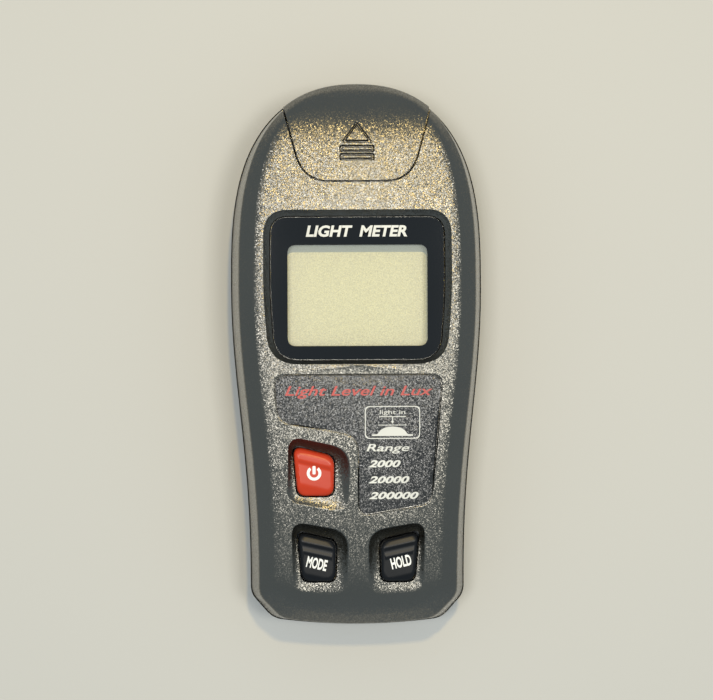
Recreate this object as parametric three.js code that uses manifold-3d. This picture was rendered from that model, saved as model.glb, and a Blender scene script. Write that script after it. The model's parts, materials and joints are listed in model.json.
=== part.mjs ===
// A pocket light meter: a two-part plastic case with a sliding cover over the light sensor,
// a recessed display window, three keys, and three AAA cells behind a sliding door.
// Millimetres. The meter lies on its back: +Z is out of its face, +Y towards the sensor end.
// The origin is the centre of its footprint, on the surface that it lies on.

import * as THREE from "three";
import { mergeVertices } from "three/addons/utils/BufferGeometryUtils.js";
import Module from "manifold-3d";

const wasm = await Module();
wasm.setup();

// ---------------------------------------------------------------- driving dimensions

const CASE_TOP = 72.3; // sensor end of the case
const CASE_BOTTOM = -72.5; // battery end of the case
const HALF_WIDTH = 33.6; // at the waist, on the rim of the rear shell
const FOOT_HALF_WIDTH = 28.6; // near the battery end
const WAIST_Y = 17.4; // where the case is widest
const SIDE_EASE = 1.2; // above 1, the sides stay narrow for longer above the battery end
const PARTING_Z = 15.0; // plane where the two shells meet
const FACE_TOP = 30.6; // crest of the arched face
const ARCH_Y = 15.0; // where that crest is
const ARCH_RADIUS = 605; // of the face, seen from the side
const CROWN = 0.6; // fall of the face from its middle to its crease
const NOSE_Y = -58; // where the face starts to roll down to the battery end
const NOSE_LENGTH = 11;
const NOSE_DROP = 3.0;
const BROW_Y = 56; // where the face starts to roll down to the sensor end
const BROW_LENGTH = 12.5;
const BROW_DROP = 3.4;

const WALL = 2.2; // of both shells
const GAP = 0.35; // between pieces that move or part
const SEAM = 0.55; // round the sensor cover
const CONTACT = 0.1; // between pieces that rest on each other

const BOARD_Z = 16.2; // underside of the main board
const BOARD_TOP = BOARD_Z + 1.6;

// ---------------------------------------------------------------- solids

// A closed three.js geometry as a manifold-3d solid.
function solid(geometry) {
  const bare = new THREE.BufferGeometry().setAttribute("position", geometry.getAttribute("position"));
  bare.setIndex(geometry.index);
  const merged = mergeVertices(bare, 1e-4);
  const corners = merged.index.array;
  const kept = [];
  for (let i = 0; i < corners.length; i += 3) {
    const [a, b, c] = [corners[i], corners[i + 1], corners[i + 2]];
    if (a !== b && b !== c && a !== c) kept.push(a, b, c);
  }
  const mesh = new wasm.Mesh({
    numProp: 3,
    vertProperties: merged.attributes.position.array,
    triVerts: new Uint32Array(kept),
  });
  return new wasm.Manifold(mesh);
}

// A manifold-3d solid as a three.js geometry.
function geometryOf(made) {
  const { vertProperties, triVerts } = made.getMesh();
  const geometry = new THREE.BufferGeometry();
  geometry.setAttribute("position", new THREE.BufferAttribute(vertProperties, 3));
  geometry.setIndex(new THREE.BufferAttribute(triVerts, 1));
  geometry.computeVertexNormals();
  return geometry;
}

// All of the solids joined.
const join = (...solids) => solids.reduce((a, b) => a.add(b));

// A shape drawn in plan, from height z0 to z1.
function prism(shape, z0, z1, curveSegments = 4) {
  const options = { depth: z1 - z0, bevelEnabled: false, curveSegments };
  return solid(new THREE.ExtrudeGeometry(shape, options).translate(0, 0, z0));
}

// An upright box between two corners.
function block(x0, x1, y0, y1, z0, z1) {
  const box = new THREE.BoxGeometry(x1 - x0, y1 - y0, z1 - z0);
  return solid(box.translate((x0 + x1) / 2, (y0 + y1) / 2, (z0 + z1) / 2));
}

// An upright cylinder.
function post(x, y, z0, z1, radius, sides = 12) {
  const cylinder = new THREE.CylinderGeometry(radius, radius, z1 - z0, sides).rotateX(Math.PI / 2);
  return solid(cylinder.translate(x, y, (z0 + z1) / 2));
}

// A turned solid whose profile of [radius, height] runs upwards from the axis back to the axis.
function turned(profile, sides = 16) {
  const points = profile.map(([radius, height]) => new THREE.Vector2(radius, height));
  return new THREE.LatheGeometry(points, sides).rotateX(Math.PI / 2);
}

// A wire or tube along a curve.
function tube(curve, radius, steps, sides = 6) {
  const section = new THREE.Shape();
  for (let i = 0; i < sides; i++) {
    const angle = (2 * Math.PI * i) / sides;
    const [x, y] = [radius * Math.cos(angle), radius * Math.sin(angle)];
    if (i) section.lineTo(x, y);
    else section.moveTo(x, y);
  }
  return new THREE.ExtrudeGeometry(section, { steps, bevelEnabled: false, extrudePath: curve });
}

// A closed solid through rings of points. Each ring runs counter-clockwise seen from above,
// and the rings go from the lowest to the highest.
function loft(rings) {
  const count = rings[0].length;
  const points = rings.flat();
  const index = [];
  const middle = (ring) => ring.reduce((sum, p) => sum.add(p), new THREE.Vector3()).divideScalar(count);
  const low = points.push(middle(rings[0])) - 1;
  const high = points.push(middle(rings.at(-1))) - 1;
  const last = (rings.length - 1) * count;
  for (let i = 0; i < count; i++) {
    const j = (i + 1) % count;
    index.push(low, j, i, high, last + i, last + j);
    for (let k = 0; k < last; k += count) {
      index.push(k + i, k + j, k + count + j, k + i, k + count + j, k + count + i);
    }
  }
  const geometry = new THREE.BufferGeometry().setFromPoints(points);
  return solid(geometry.setIndex(index));
}

// ---------------------------------------------------------------- the case's own form

// Plan of the case at one level, each side moved in by its own inset. A higher fullness
// squares the shoulders. The points run counter-clockwise from the middle of the battery end.
function plan({ side = 0, top = 0, bottom = 0, fullness = 2.2 }) {
  const waist = HALF_WIDTH - side;
  const foot = FOOT_HALF_WIDTH - side;
  const end = CASE_BOTTOM + bottom;
  const tip = CASE_TOP - top;
  const sideStart = end + 10.1;
  const corner = new THREE.Path();
  corner.moveTo(0, end);
  corner.quadraticCurveTo((foot - 8.1) / 2, end, foot - 8.1, end + 1.3);
  corner.quadraticCurveTo(foot - 6, end + 1.6, foot - 4.5, end + 3.2);
  corner.lineTo(foot - 1.3, end + 6.8);
  corner.quadraticCurveTo(foot - 0.15, end + 8.1, foot, sideStart);
  const right = corner.getPoints(2);
  const sideSteps = 6;
  for (let i = 1; i <= sideSteps; i++) {
    const rise = i / sideSteps;
    const x = foot + (waist - foot) * Math.sin((Math.PI / 2) * rise ** SIDE_EASE) ** 2;
    right.push(new THREE.Vector2(x, sideStart + (WAIST_Y - sideStart) * rise));
  }
  const topSteps = 13;
  for (let i = 1; i <= topSteps; i++) {
    const angle = (Math.PI / 2) * (i / topSteps);
    const x = i < topSteps ? waist * Math.cos(angle) ** (2 / fullness) : 0;
    right.push(new THREE.Vector2(x, WAIST_Y + (tip - WAIST_Y) * Math.sin(angle) ** (2 / 3)));
  }
  const left = right.slice(1, -1).reverse().map((p) => new THREE.Vector2(-p.x, p.y));
  return [...right, ...left];
}

// Height of the arched face.
function faceHeight(x, y) {
  const arch = (y - ARCH_Y) ** 2 / (2 * ARCH_RADIUS);
  const crown = CROWN * (x / 26) ** 2;
  const nose = y < NOSE_Y ? NOSE_DROP * ((NOSE_Y - y) / NOSE_LENGTH) ** 2 : 0;
  const brow = y > BROW_Y ? BROW_DROP * ((y - BROW_Y) / BROW_LENGTH) ** 2 : 0;
  return FACE_TOP - arch - crown - nose - brow;
}

const ring = (insets, height) => plan(insets).map((p) => new THREE.Vector3(p.x, p.y, height(p.x, p.y)));

// The outside of the front shell from the parting plane to the face. Each level has its insets
// at the sides, the sensor end and the battery end, the fullness of its plan, its share of the
// way up to the face, and its depth below that.
const FRONT_LEVELS = [
  { side: 0.3, top: 0.3, bottom: 0.3, fullness: 2.2, share: 0, depth: 0 },
  { side: 2.5, top: 1.2, bottom: 0.8, fullness: 2.3, share: 0.82, depth: 0 }, // shoulder
  { side: 5.25, top: 2.5, bottom: 2.6, fullness: 2.6, share: 1, depth: 1.0 },
  { side: 6.2, top: 2.95, bottom: 3.3, fullness: 2.7, share: 1, depth: 0.42 }, // crease
  { side: 6.8, top: 3.5, bottom: 3.9, fullness: 2.74, share: 1, depth: 0.18 },
  { side: 7.7, top: 4.6, bottom: 5.2, fullness: 2.8, share: 1, depth: 0 },
];
const MIDDLE_SHARES = [0.88, 0.6]; // sizes of the inner rings of the face

// The case above the parting plane as a full solid, each wall moved in by inset and the face
// lowered by drop. A low base lets it serve as a cavity.
function frontBody({ inset = 0, drop = 0, base = PARTING_Z + 0.25 }) {
  const moved = ({ side, top, bottom, fullness }) => {
    return { side: side + inset, top: top + inset, bottom: bottom + inset, fullness };
  };
  const rings = FRONT_LEVELS.map((level) =>
    ring(moved(level), (x, y) => base + level.share * (faceHeight(x, y) - level.depth - drop - base)),
  );
  for (const share of MIDDLE_SHARES) {
    const middle = plan(moved(FRONT_LEVELS.at(-1))).map((p) => p.multiplyScalar(share));
    rings.push(middle.map((p) => new THREE.Vector3(p.x, p.y, faceHeight(p.x, p.y) - drop)));
  }
  return loft(rings);
}

// The case below the parting plane as a full solid, moved in by inset and raised by lift.
function rearBody({ inset = 0, lift = 0, height = PARTING_Z }) {
  const level = (all, z) => ring({ side: all + inset, top: all + inset, bottom: all + inset }, () => z);
  return loft([
    level(6.4, lift),
    level(4.6, lift + 0.6),
    level(2.9, lift + 2.6),
    level(1.3, lift + 7),
    level(0, PARTING_Z - 0.6),
    level(0, height),
  ]);
}

// An upright ring wall that follows the plan between two insets.
function planWall(outer, inner, z0, z1) {
  const full = (inset, low, high) => {
    const insets = { side: inset, top: inset, bottom: inset };
    return loft([ring(insets, () => low), ring(insets, () => high)]);
  };
  return full(outer, z0, z1).subtract(full(inner, z0 - 1, z1 + 1));
}

// ---------------------------------------------------------------- outlines on the face

// Sensor cover: a tapered tongue with round corners, open at the sensor end.
const COVER_Y = 45.5; // its straight lower edge
function coverPlan(gap) {
  const half = (y) => 15.2 + 0.27 * (y - 50.5) + gap;
  const [low, high] = [COVER_Y - gap, 80];
  const shape = new THREE.Shape();
  shape.moveTo(half(high), high);
  shape.lineTo(-half(high), high);
  shape.lineTo(-half(53), 53);
  shape.quadraticCurveTo(-half(COVER_Y) - 0.1, low, -7.5, low);
  shape.lineTo(7.5, low);
  shape.quadraticCurveTo(half(COVER_Y) + 0.1, low, half(53), 53);
  return shape;
}

// Display window: a rounded panel, a little narrower at its lower edge.
const WINDOW_Y = 17.4; // its middle
const WINDOW = { halfWidth: 22.55, halfHeight: 18.5, taper: 0.9, upperRound: 4.5, lowerRound: 6.5 };
function windowPlan(grow) {
  const x = WINDOW.halfWidth + grow;
  const foot = x - WINDOW.taper;
  const top = WINDOW_Y + WINDOW.halfHeight + grow;
  const low = WINDOW_Y - WINDOW.halfHeight - grow;
  const upper = Math.max(WINDOW.upperRound + grow, 1);
  const lower = Math.max(WINDOW.lowerRound + grow, 1);
  const shape = new THREE.Shape();
  shape.moveTo(foot - lower, low);
  shape.quadraticCurveTo(foot, low, foot, low + lower);
  shape.lineTo(x, WINDOW_Y);
  shape.lineTo(x, top - upper);
  shape.quadraticCurveTo(x, top, x - upper, top);
  shape.lineTo(-x + upper, top);
  shape.quadraticCurveTo(-x, top, -x, top - upper);
  shape.lineTo(-x, WINDOW_Y);
  shape.lineTo(-foot, low + lower);
  shape.quadraticCurveTo(-foot, low, -foot + lower, low);
  return shape;
}

// A polygon with rounded corners, each corner given as [x, y, cut], counter-clockwise. The
// cut is how far from the corner the rounding starts. Grow moves each edge outwards.
function rounded(corners, grow = 0) {
  const n = corners.length;
  const at = (i) => new THREE.Vector2(corners[(i + n) % n][0], corners[(i + n) % n][1]);
  const moved = corners.map((_, i) => {
    const before = at(i).sub(at(i - 1)).normalize();
    const after = at(i + 1).sub(at(i)).normalize();
    const outward = new THREE.Vector2(before.y + after.y, -before.x - after.x);
    return at(i).add(outward.multiplyScalar(grow / (1 + before.dot(after))));
  });
  const shape = new THREE.Shape();
  corners.forEach(([, , cut], i) => {
    const here = moved[i];
    const back = moved[(i - 1 + n) % n].clone().sub(here).setLength(cut);
    const on = moved[(i + 1) % n].clone().sub(here).setLength(cut);
    if (i) shape.lineTo(here.x + back.x, here.y + back.y);
    else shape.moveTo(here.x + back.x, here.y + back.y);
    shape.quadraticCurveTo(here.x, here.y, here.x + on.x, here.y + on.y);
  });
  return shape;
}

// Printed range label, an L that leaves room for the power key.
const LABEL = [
  [0.3, -41.7, 2.8],
  [18.9, -38.6, 3.0],
  [21.8, -5.3, 3.4],
  [-21.7, -5.3, 3.4],
  [-20.7, -17.1, 3.4],
  [0.3, -20.6, 4.8],
];

// The keys: the outline of each cap, and the larger scoop that it sits in.
const KEYS = {
  power: {
    cap: [[-15.8, -36.75, 2.3], [-6.4, -36.75, 2.6], [-6.2, -26.4, 2.6], [-17.0, -23.7, 2.8]],
    scoop: [[-18.5, -38.2, 3.0], [-2.5, -41.2, 4.8], [-2.1, -24.4, 5.2], [-18.1, -21.0, 3.8]],
    colour: 0xd83a1c,
  },
  mode: {
    cap: [[-14.7, -59.4, 2.4], [-6.0, -59.4, 2.4], [-5.8, -48.8, 2.1], [-15.9, -46.4, 2.3]],
    scoop: [[-17.1, -61.9, 3.0], [-2.9, -63.6, 4.8], [-2.5, -46.0, 4.8], [-17.4, -43.4, 3.8]],
    colour: 0x16181a,
  },
};
const mirrored = (corners) => corners.map(([x, y, cut]) => [-x, y, cut]).reverse();
KEYS.hold = { ...KEYS.mode, cap: mirrored(KEYS.mode.cap), scoop: mirrored(KEYS.mode.scoop) };

for (const key of Object.values(KEYS)) {
  const sum = key.cap.reduce(([x, y], corner) => [x + corner[0], y + corner[1]], [0, 0]);
  key.x = sum[0] / key.cap.length;
  key.y = sum[1] / key.cap.length;
  key.face = faceHeight(key.x, key.y);
  key.seat = key.face - 2.0; // bottom of the scoop, at the cap's opening
  key.guide = key.seat - 2.0; // underside of the wall that guides the cap
}
const KEY_TRAVEL = 1.0;
const DOME_HEIGHT = 1.9;
const SHEET_TOP = BOARD_TOP + 1.0;
const DOME_TOP = SHEET_TOP + DOME_HEIGHT;

// ---------------------------------------------------------------- places inside

const SENSOR_Y = 57.5;
const POCKET_Z = 21.0; // floor of the sensor pocket
const LENS_TOP = 28.3;
const LENS_THICK = 1.2;
const LCD_Y = 15.4;
const LCD_TOP = 24.3;

const CASE_SCREWS = [[-20, 50], [20, 50], [-22.8, -50], [22.8, -50]];
const BOARD_SCREWS = [[-23.4, 38.6], [23.4, 38.6], [-19.3, -61], [19.3, -61]];

const BAY = { halfWidth: 17.2, low: -59.0, high: -9.5, top: 12.9 };
const DOOR = { halfWidth: 18.0, start: -8.0, thick: 1.8, endTop: 12.5, tongue: 1.2 };
const CELL = { radius: 5.25, length: 44.5, pitch: 11.4, z: 7.6 };
const TAB_Z = 10.7; // height where the outer battery contacts pass through the bay's end walls

// ---------------------------------------------------------------- case

// The lap that keeps the shells in line, missing where the sensor cover wraps the end.
function lap(outer, inner, z0, z1) {
  return planWall(outer, inner, z0, z1).subtract(prism(coverPlan(2.6), z0 - 1, z1 + 1));
}

function frontShell() {
  const outer = frontBody({});
  const mask = (shape, z0) => prism(shape, z0, FACE_TOP + 2).intersect(outer);
  let shell = outer.subtract(frontBody({ inset: WALL, drop: WALL, base: PARTING_Z - 5 }));

  // Thick places behind the face, before they are cut.
  const roundWindow = mask(windowPlan(1.6), LENS_TOP - LENS_THICK - 1.2);
  shell = join(shell, mask(coverPlan(2.3), POCKET_Z - 2), roundWindow);
  for (const key of Object.values(KEYS)) {
    shell = shell.add(mask(rounded(key.scoop, 0.6), key.guide));
  }

  // Sensor pocket: open at the end, with a wall behind the cover's rim and rails for its legs.
  shell = shell.subtract(prism(coverPlan(SEAM), POCKET_Z, FACE_TOP + 2));
  const behindRim = frontBody({ inset: 2.3, base: PARTING_Z + 0.25 });
  shell = shell.subtract(prism(coverPlan(GAP), PARTING_Z - 1, FACE_TOP + 2).subtract(behindRim));
  const endWall = behindRim.intersect(prism(coverPlan(2.3), PARTING_Z, POCKET_Z));
  const behindWall = frontBody({ inset: 4.0, base: PARTING_Z - 1 });
  const space = behindWall.intersect(block(-40, 40, 0, 80, PARTING_Z - 1, POCKET_Z - 2));
  shell = shell.add(endWall.subtract(space));
  for (const side of [-1, 1]) {
    const web = block(13.7, 14.9, 52, 63.2, POCKET_Z - 0.5, 25.2);
    const lip = block(12.5, 14.9, 52, 63.2, 24.0, 25.2);
    shell = shell.add(web.add(lip).scale([side, 1, 1]));
  }
  shell = shell.subtract(post(0, SENSOR_Y, POCKET_Z - 3, POCKET_Z + 0.5, 8.3, 24));

  // Window: a sloping recess, the seat of the lens, and the opening inside it.
  const seat = LENS_TOP - LENS_THICK - CONTACT;
  const edge = (grow, z) => windowPlan(grow).getPoints(4).map((p) => new THREE.Vector3(p.x, p.y, z));
  const recess = loft([edge(0.2, LENS_TOP - 0.1), edge(1.5, FACE_TOP - 0.35), edge(2.0, FACE_TOP + 0.4)]);
  shell = shell.subtract(recess);
  shell = shell.subtract(prism(windowPlan(0.2), seat, LENS_TOP));
  shell = shell.subtract(prism(windowPlan(-2.0), seat - 3, seat + 0.5));

  // Label: a shallow recess that keeps the face's arch.
  shell = shell.subtract(prism(rounded(LABEL, 0.2), 20, FACE_TOP + 2).subtract(frontBody({ drop: 0.75 })));

  // Keys: a scoop with sloping sides, and the opening that guides the cap.
  for (const key of Object.values(KEYS)) {
    const level = (corners, grow, z) =>
      rounded(corners, grow).getPoints(3).map((p) => new THREE.Vector3(p.x, p.y, z));
    const scoop = loft([level(key.cap, 0.5, key.seat), level(key.scoop, 0, key.face + 0.6)]);
    shell = shell.subtract(scoop).subtract(prism(rounded(key.cap, GAP), key.guide - 1, key.seat + 1));
  }

  // Posts for both sets of screws.
  for (const [x, y] of CASE_SCREWS) {
    shell = shell.add(post(x, y, PARTING_Z + 0.25, faceHeight(x, y), 2.9).intersect(outer));
    shell = shell.subtract(post(x, y, PARTING_Z - 1, 20, 1.35, 12));
  }
  for (const [x, y] of BOARD_SCREWS) {
    shell = shell.add(post(x, y, BOARD_TOP + CONTACT, faceHeight(x, y), 2.2).intersect(outer));
    shell = shell.subtract(post(x, y, BOARD_TOP - 1, 21.2, 0.95, 10));
  }
  return shell.subtract(lap(1.2, 2.9, PARTING_Z - 1, PARTING_Z + 1.8));
}

function rearShell() {
  const outer = rearBody({});
  let shell = outer.subtract(rearBody({ inset: WALL, lift: 2, height: PARTING_Z + 1 }));
  shell = shell.add(lap(1.5, 2.5, PARTING_Z - 2, PARTING_Z + 1.4));

  // Battery bay, and a second skin behind the door.
  const box = block(-BAY.halfWidth - 2, BAY.halfWidth + 2, BAY.low - 1.5, BAY.high + 1.5, 0, BAY.top + 1.3);
  const behindDoor = rearBody({ inset: 2.2, lift: DOOR.thick + 0.3, height: PARTING_Z });
  const skin = behindDoor.subtract(rearBody({ inset: 3.7, lift: 3.5, height: PARTING_Z + 1 }));
  const doorSide = DOOR.halfWidth + DOOR.tongue + 1.6;
  const round = block(-doorSide, doorSide, -80, DOOR.start + 2, 0, PARTING_Z - 0.2);
  shell = join(shell, box, skin.intersect(round));
  shell = shell.subtract(block(-BAY.halfWidth, BAY.halfWidth, BAY.low, BAY.high, -1, BAY.top));

  // Room for the door and its tongues.
  const doorHalf = DOOR.halfWidth + 0.3;
  const doorRoom = block(-doorHalf, doorHalf, -80, DOOR.start + 0.3, -1, DOOR.endTop + 0.3);
  shell = shell.subtract(doorRoom.subtract(behindDoor));
  const slot = DOOR.halfWidth + DOOR.tongue + 0.3;
  shell = shell.subtract(block(-slot, slot, -80, DOOR.start + 0.3, 0.7, DOOR.thick + 0.3));

  // Slits for the tabs of the outer contacts.
  shell = shell.subtract(block(-13.2, -9.6, BAY.high - 1, BAY.high + 3, TAB_Z - 0.4, TAB_Z + 0.9));
  shell = shell.subtract(block(9.6, 13.2, BAY.low - 3, BAY.low + 1, TAB_Z - 0.4, TAB_Z + 0.9));

  // Screw towers with sunk heads.
  for (const [x, y] of CASE_SCREWS) {
    shell = shell.add(post(x, y, DOOR.thick + 0.4, PARTING_Z - 0.1, 3.9).intersect(outer));
    shell = shell.subtract(post(x, y, -1, 6, 2.9, 20)).subtract(post(x, y, 5, PARTING_Z + 1, 1.5, 12));
  }
  return shell;
}

function sensorCover() {
  const outer = frontBody({ inset: -0.5, base: PARTING_Z + 0.4 });
  const hollow = frontBody({ inset: 1.5, drop: 1.8, base: PARTING_Z - 2 });
  let cover = outer.intersect(prism(coverPlan(0), PARTING_Z, FACE_TOP + 2)).subtract(hollow);
  const legs = join(
    ...[-1, 1].map((side) => {
      const leg = block(10.9, 12.1, 52, 63, POCKET_Z + 0.4, 29);
      const foot = block(11, 13.3, 52, 63, POCKET_Z + 0.4, 23.6);
      return leg.add(foot).scale([side, 1, 1]);
    }),
  );
  return cover.add(legs.intersect(frontBody({ drop: 0.6 })));
}

function batteryDoor() {
  const outer = rearBody({});
  const inner = rearBody({ inset: DOOR.thick, lift: DOOR.thick, height: PARTING_Z + 1 });
  const reach = block(-DOOR.halfWidth, DOOR.halfWidth, -80, DOOR.start, -1, DOOR.endTop);
  const tongueHalf = DOOR.halfWidth + DOOR.tongue;
  const tongues = block(-tongueHalf, tongueHalf, -64, DOOR.start, 1.0, DOOR.thick);
  return outer.intersect(reach).subtract(inner).add(tongues);
}

// ---------------------------------------------------------------- display

const lens = () => prism(windowPlan(0), LENS_TOP - LENS_THICK, LENS_TOP);

// A label of even thickness that follows the arch of the face.
function rangeLabel() {
  const sheet = frontBody({ drop: 0.15 }).subtract(frontBody({ drop: 0.65, base: PARTING_Z - 2 }));
  return sheet.intersect(prism(rounded(LABEL), 20, FACE_TOP + 2));
}

function displayFrame() {
  const [x, y] = [23.6, 18.2];
  const body = block(-x, x, LCD_Y - y, LCD_Y + y, BOARD_TOP + CONTACT, LCD_TOP + 0.9);
  const hollow = block(-22.3, 22.3, LCD_Y - 16.9, LCD_Y + 16.9, BOARD_TOP, LCD_TOP + CONTACT);
  const opening = block(-20.6, 20.6, LCD_Y - 15.2, LCD_Y + 15.2, LCD_TOP - 1, LCD_TOP + 2);
  return body.subtract(hollow).subtract(opening);
}

// ---------------------------------------------------------------- keys

function keyCap(key) {
  const flange = key.guide - 0.3;
  const stem = rounded(key.cap, 0);
  const cap = prism(stem, flange - 1, key.face + 0.7);
  // The top slopes down towards both ends of the cap.
  const ends = key.cap.map(([, y]) => y);
  const [low, high] = [Math.min(...ends), Math.max(...ends)];
  const roof = new THREE.Shape();
  roof.moveTo(low - 1, key.face - 4);
  roof.lineTo(high + 1, key.face - 4);
  roof.lineTo(high + 1, key.face - 0.2);
  roof.lineTo(high - 3.0, key.face + 0.7);
  roof.lineTo(low + 3.5, key.face + 0.5);
  roof.lineTo(low - 1, key.face - 0.9);
  const options = { depth: 30, bevelEnabled: false };
  const wedge = new THREE.ExtrudeGeometry(roof, options).translate(0, 0, -15);
  const upright = new THREE.Matrix4().makeBasis(
    new THREE.Vector3(0, 1, 0),
    new THREE.Vector3(0, 0, 1),
    new THREE.Vector3(1, 0, 0),
  );
  const shaped = cap.intersect(solid(wedge.applyMatrix4(upright).translate(key.x, 0, 0)));
  const skirt = prism(stem, flange - 1.3, key.face - 3.5);
  const brim = prism(rounded(key.cap, 1.1), flange - 1.2, flange);
  const pusher = post(key.x, key.y, DOME_TOP + CONTACT, flange - 0.5, 2.2);
  return join(shaped, skirt, brim, pusher);
}

// A hollow rubber dome, open underneath.
function dome(key) {
  const z = SHEET_TOP;
  const profile = [
    [0, z + 1.0],
    [1.4, z + 1.0],
    [3.3, BOARD_TOP + 0.2],
    [4.2, BOARD_TOP + 0.2],
    [4.2, z],
    [2.5, z + 1.5],
    [2.3, DOME_TOP],
    [0, DOME_TOP],
  ];
  return turned(profile, 14).translate(key.x, key.y, 0);
}

function keypadSheet() {
  const corners = [
    [-16.8, -61, 1], [16.8, -61, 1], [16.8, -44, 1],
    [-3.4, -44, 1], [-3.4, -23, 1], [-18, -23, 1],
  ];
  let sheet = prism(rounded(corners), BOARD_TOP + CONTACT, SHEET_TOP);
  for (const key of Object.values(KEYS)) {
    sheet = sheet.subtract(post(key.x, key.y, BOARD_TOP - 1, SHEET_TOP + 1, 4.5, 18));
  }
  return sheet;
}

// ---------------------------------------------------------------- electronics

function mainBoard() {
  const corners = [
    [-21.4, -63, 3.5], [21.4, -63, 3.5], [22, -8, 1], [27, -3, 2],
    [27, 42, 3], [-27, 42, 3], [-27, -3, 2], [-22, -8, 1],
  ];
  let board = prism(rounded(corners), BOARD_Z, BOARD_TOP, 3);
  for (const [x, y] of CASE_SCREWS.slice(2)) board = board.subtract(post(x, y, 10, 20, 4.3));
  for (const [x, y] of BOARD_SCREWS) board = board.subtract(post(x, y, 10, 20, 1.2, 12));
  return board;
}

// The controller: a bare chip under a drop of black resin.
function resinDrop(x, y) {
  const base = BOARD_TOP + CONTACT;
  const profile = [[0, base], [7.2, base], [6.9, base + 0.7]];
  profile.push([5.6, base + 1.5], [3.4, base + 2.0], [0, base + 2.2]);
  return turned(profile, 20).translate(x, y, 0);
}

// A flat chip with two rows of leads, its body width by length by height.
function chip(x, y, width, length, height, leadsPerSide) {
  const base = BOARD_TOP + CONTACT;
  let made = block(x - width / 2, x + width / 2, y - length / 2, y + length / 2, base + 0.3, base + height);
  const pitch = (length - 1) / (leadsPerSide - 1);
  for (let i = 0; i < leadsPerSide; i++) {
    const along = -length / 2 + 0.5 + i * pitch;
    const reach = width / 2 + 0.9;
    made = made.add(block(x - reach, x + reach, y + along - 0.15, y + along + 0.15, base, base + 0.5));
  }
  return made;
}

function trimmer(x, y) {
  const base = BOARD_TOP + CONTACT;
  const body = block(x - 3.3, x + 3.3, y - 3.3, y + 3.3, base, base + 3.6);
  const rotor = post(x, y, base + 3, base + 4.4, 2.2);
  const slot = block(x - 1.8, x + 1.8, y - 0.3, y + 0.3, base + 3.8, base + 5);
  return body.add(rotor).subtract(slot);
}

function capacitor(x, y) {
  const base = BOARD_TOP + CONTACT;
  const profile = [[0, base], [2.5, base], [2.5, base + 0.9], [2.3, base + 1.2], [2.5, base + 1.5]];
  profile.push([2.5, base + 5.4], [2.2, base + 5.7], [0, base + 5.7]);
  return turned(profile).translate(x, y, 0);
}

// ---------------------------------------------------------------- light sensor

function diffuser() {
  const radius = 10; // of the sphere that the dome is cut from
  const profile = [[0, POCKET_Z + CONTACT], [10, POCKET_Z + CONTACT], [10, POCKET_Z + 1], [8, POCKET_Z + 1]];
  const steps = 6;
  const half = Math.asin(8 / radius);
  for (let i = 1; i <= steps; i++) {
    const angle = half * (1 - i / steps);
    const height = POCKET_Z + 1 + radius * (Math.cos(angle) - Math.cos(half));
    profile.push([i < steps ? radius * Math.sin(angle) : 0, height]);
  }
  return turned(profile, 28).translate(0, SENSOR_Y, 0);
}

// A black cup that holds the photodiode and, on a step, its colour filter.
function sensorCup() {
  const [low, high] = [14.9, POCKET_Z];
  const profile = [[0, low], [8, low], [8, high], [6.7, high], [6.7, high - 2.4]];
  profile.push([5.4, high - 2.4], [5.4, low + 1.2], [0, low + 1.2]);
  return turned(profile, 24).translate(0, SENSOR_Y, 0);
}

// ---------------------------------------------------------------- battery

function cell(index) {
  const { radius, length, pitch, z } = CELL;
  const profile = [[0, 0], [3.4, 0], [3.6, 0.3], [radius - 0.5, 0.3], [radius, 0.8], [radius, length - 1.4]];
  profile.push([radius - 0.6, length - 0.9], [1.9, length - 0.9], [1.9, length], [0, length]);
  const upright = turned(profile, 18);
  // The middle cell lies the other way round.
  const forwards = index !== 0;
  upright.rotateX(forwards ? -Math.PI / 2 : Math.PI / 2);
  const flat = 0.6 + CONTACT;
  return upright.translate(index * pitch, forwards ? BAY.high - flat - length : BAY.low + flat + length, z);
}

// The spring behind each cell's flat end, wound as a cone.
function spring(index) {
  const [turns, perTurn] = [3, 10];
  const [wideRadius, taper] = [3.6, 1.4];
  const low = [BAY.low + 1.2, BAY.high - 1.6 - CELL.length];
  const high = [BAY.high - 1.2, BAY.low + 1.6 + CELL.length];
  const [from, to] = index !== 0 ? low : high; // the middle cell lies the other way round
  const points = [];
  for (let i = 0; i <= turns * perTurn; i++) {
    const share = i / (turns * perTurn);
    const angle = 2 * Math.PI * turns * share;
    const radius = wideRadius - taper * share;
    const x = index * CELL.pitch + radius * Math.cos(angle);
    points.push(new THREE.Vector3(x, from + (to - from) * share, CELL.z + radius * Math.sin(angle)));
  }
  return tube(new THREE.CatmullRomCurve3(points), 0.35, 36, 5);
}

// A contact strip against one end wall of the bay, with a tab where a lead is soldered.
function contact(x0, x1, atHighEnd, tabX) {
  const wall = atHighEnd ? BAY.high : BAY.low;
  const out = atHighEnd ? 1 : -1;
  const span = (near, far) => [wall + out * near, wall + out * far].sort((a, b) => a - b);
  const [y0, y1] = span(-0.6, -CONTACT);
  let strip = block(x0, x1, y0, y1, 3.2, 12.2);
  if (tabX !== undefined) {
    const [t0, t1] = span(-0.5, 2.4);
    strip = strip.add(block(tabX - 1.4, tabX + 1.4, t0, t1, TAB_Z, TAB_Z + 0.5));
  }
  return strip;
}

// ---------------------------------------------------------------- fasteners and leads

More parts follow.
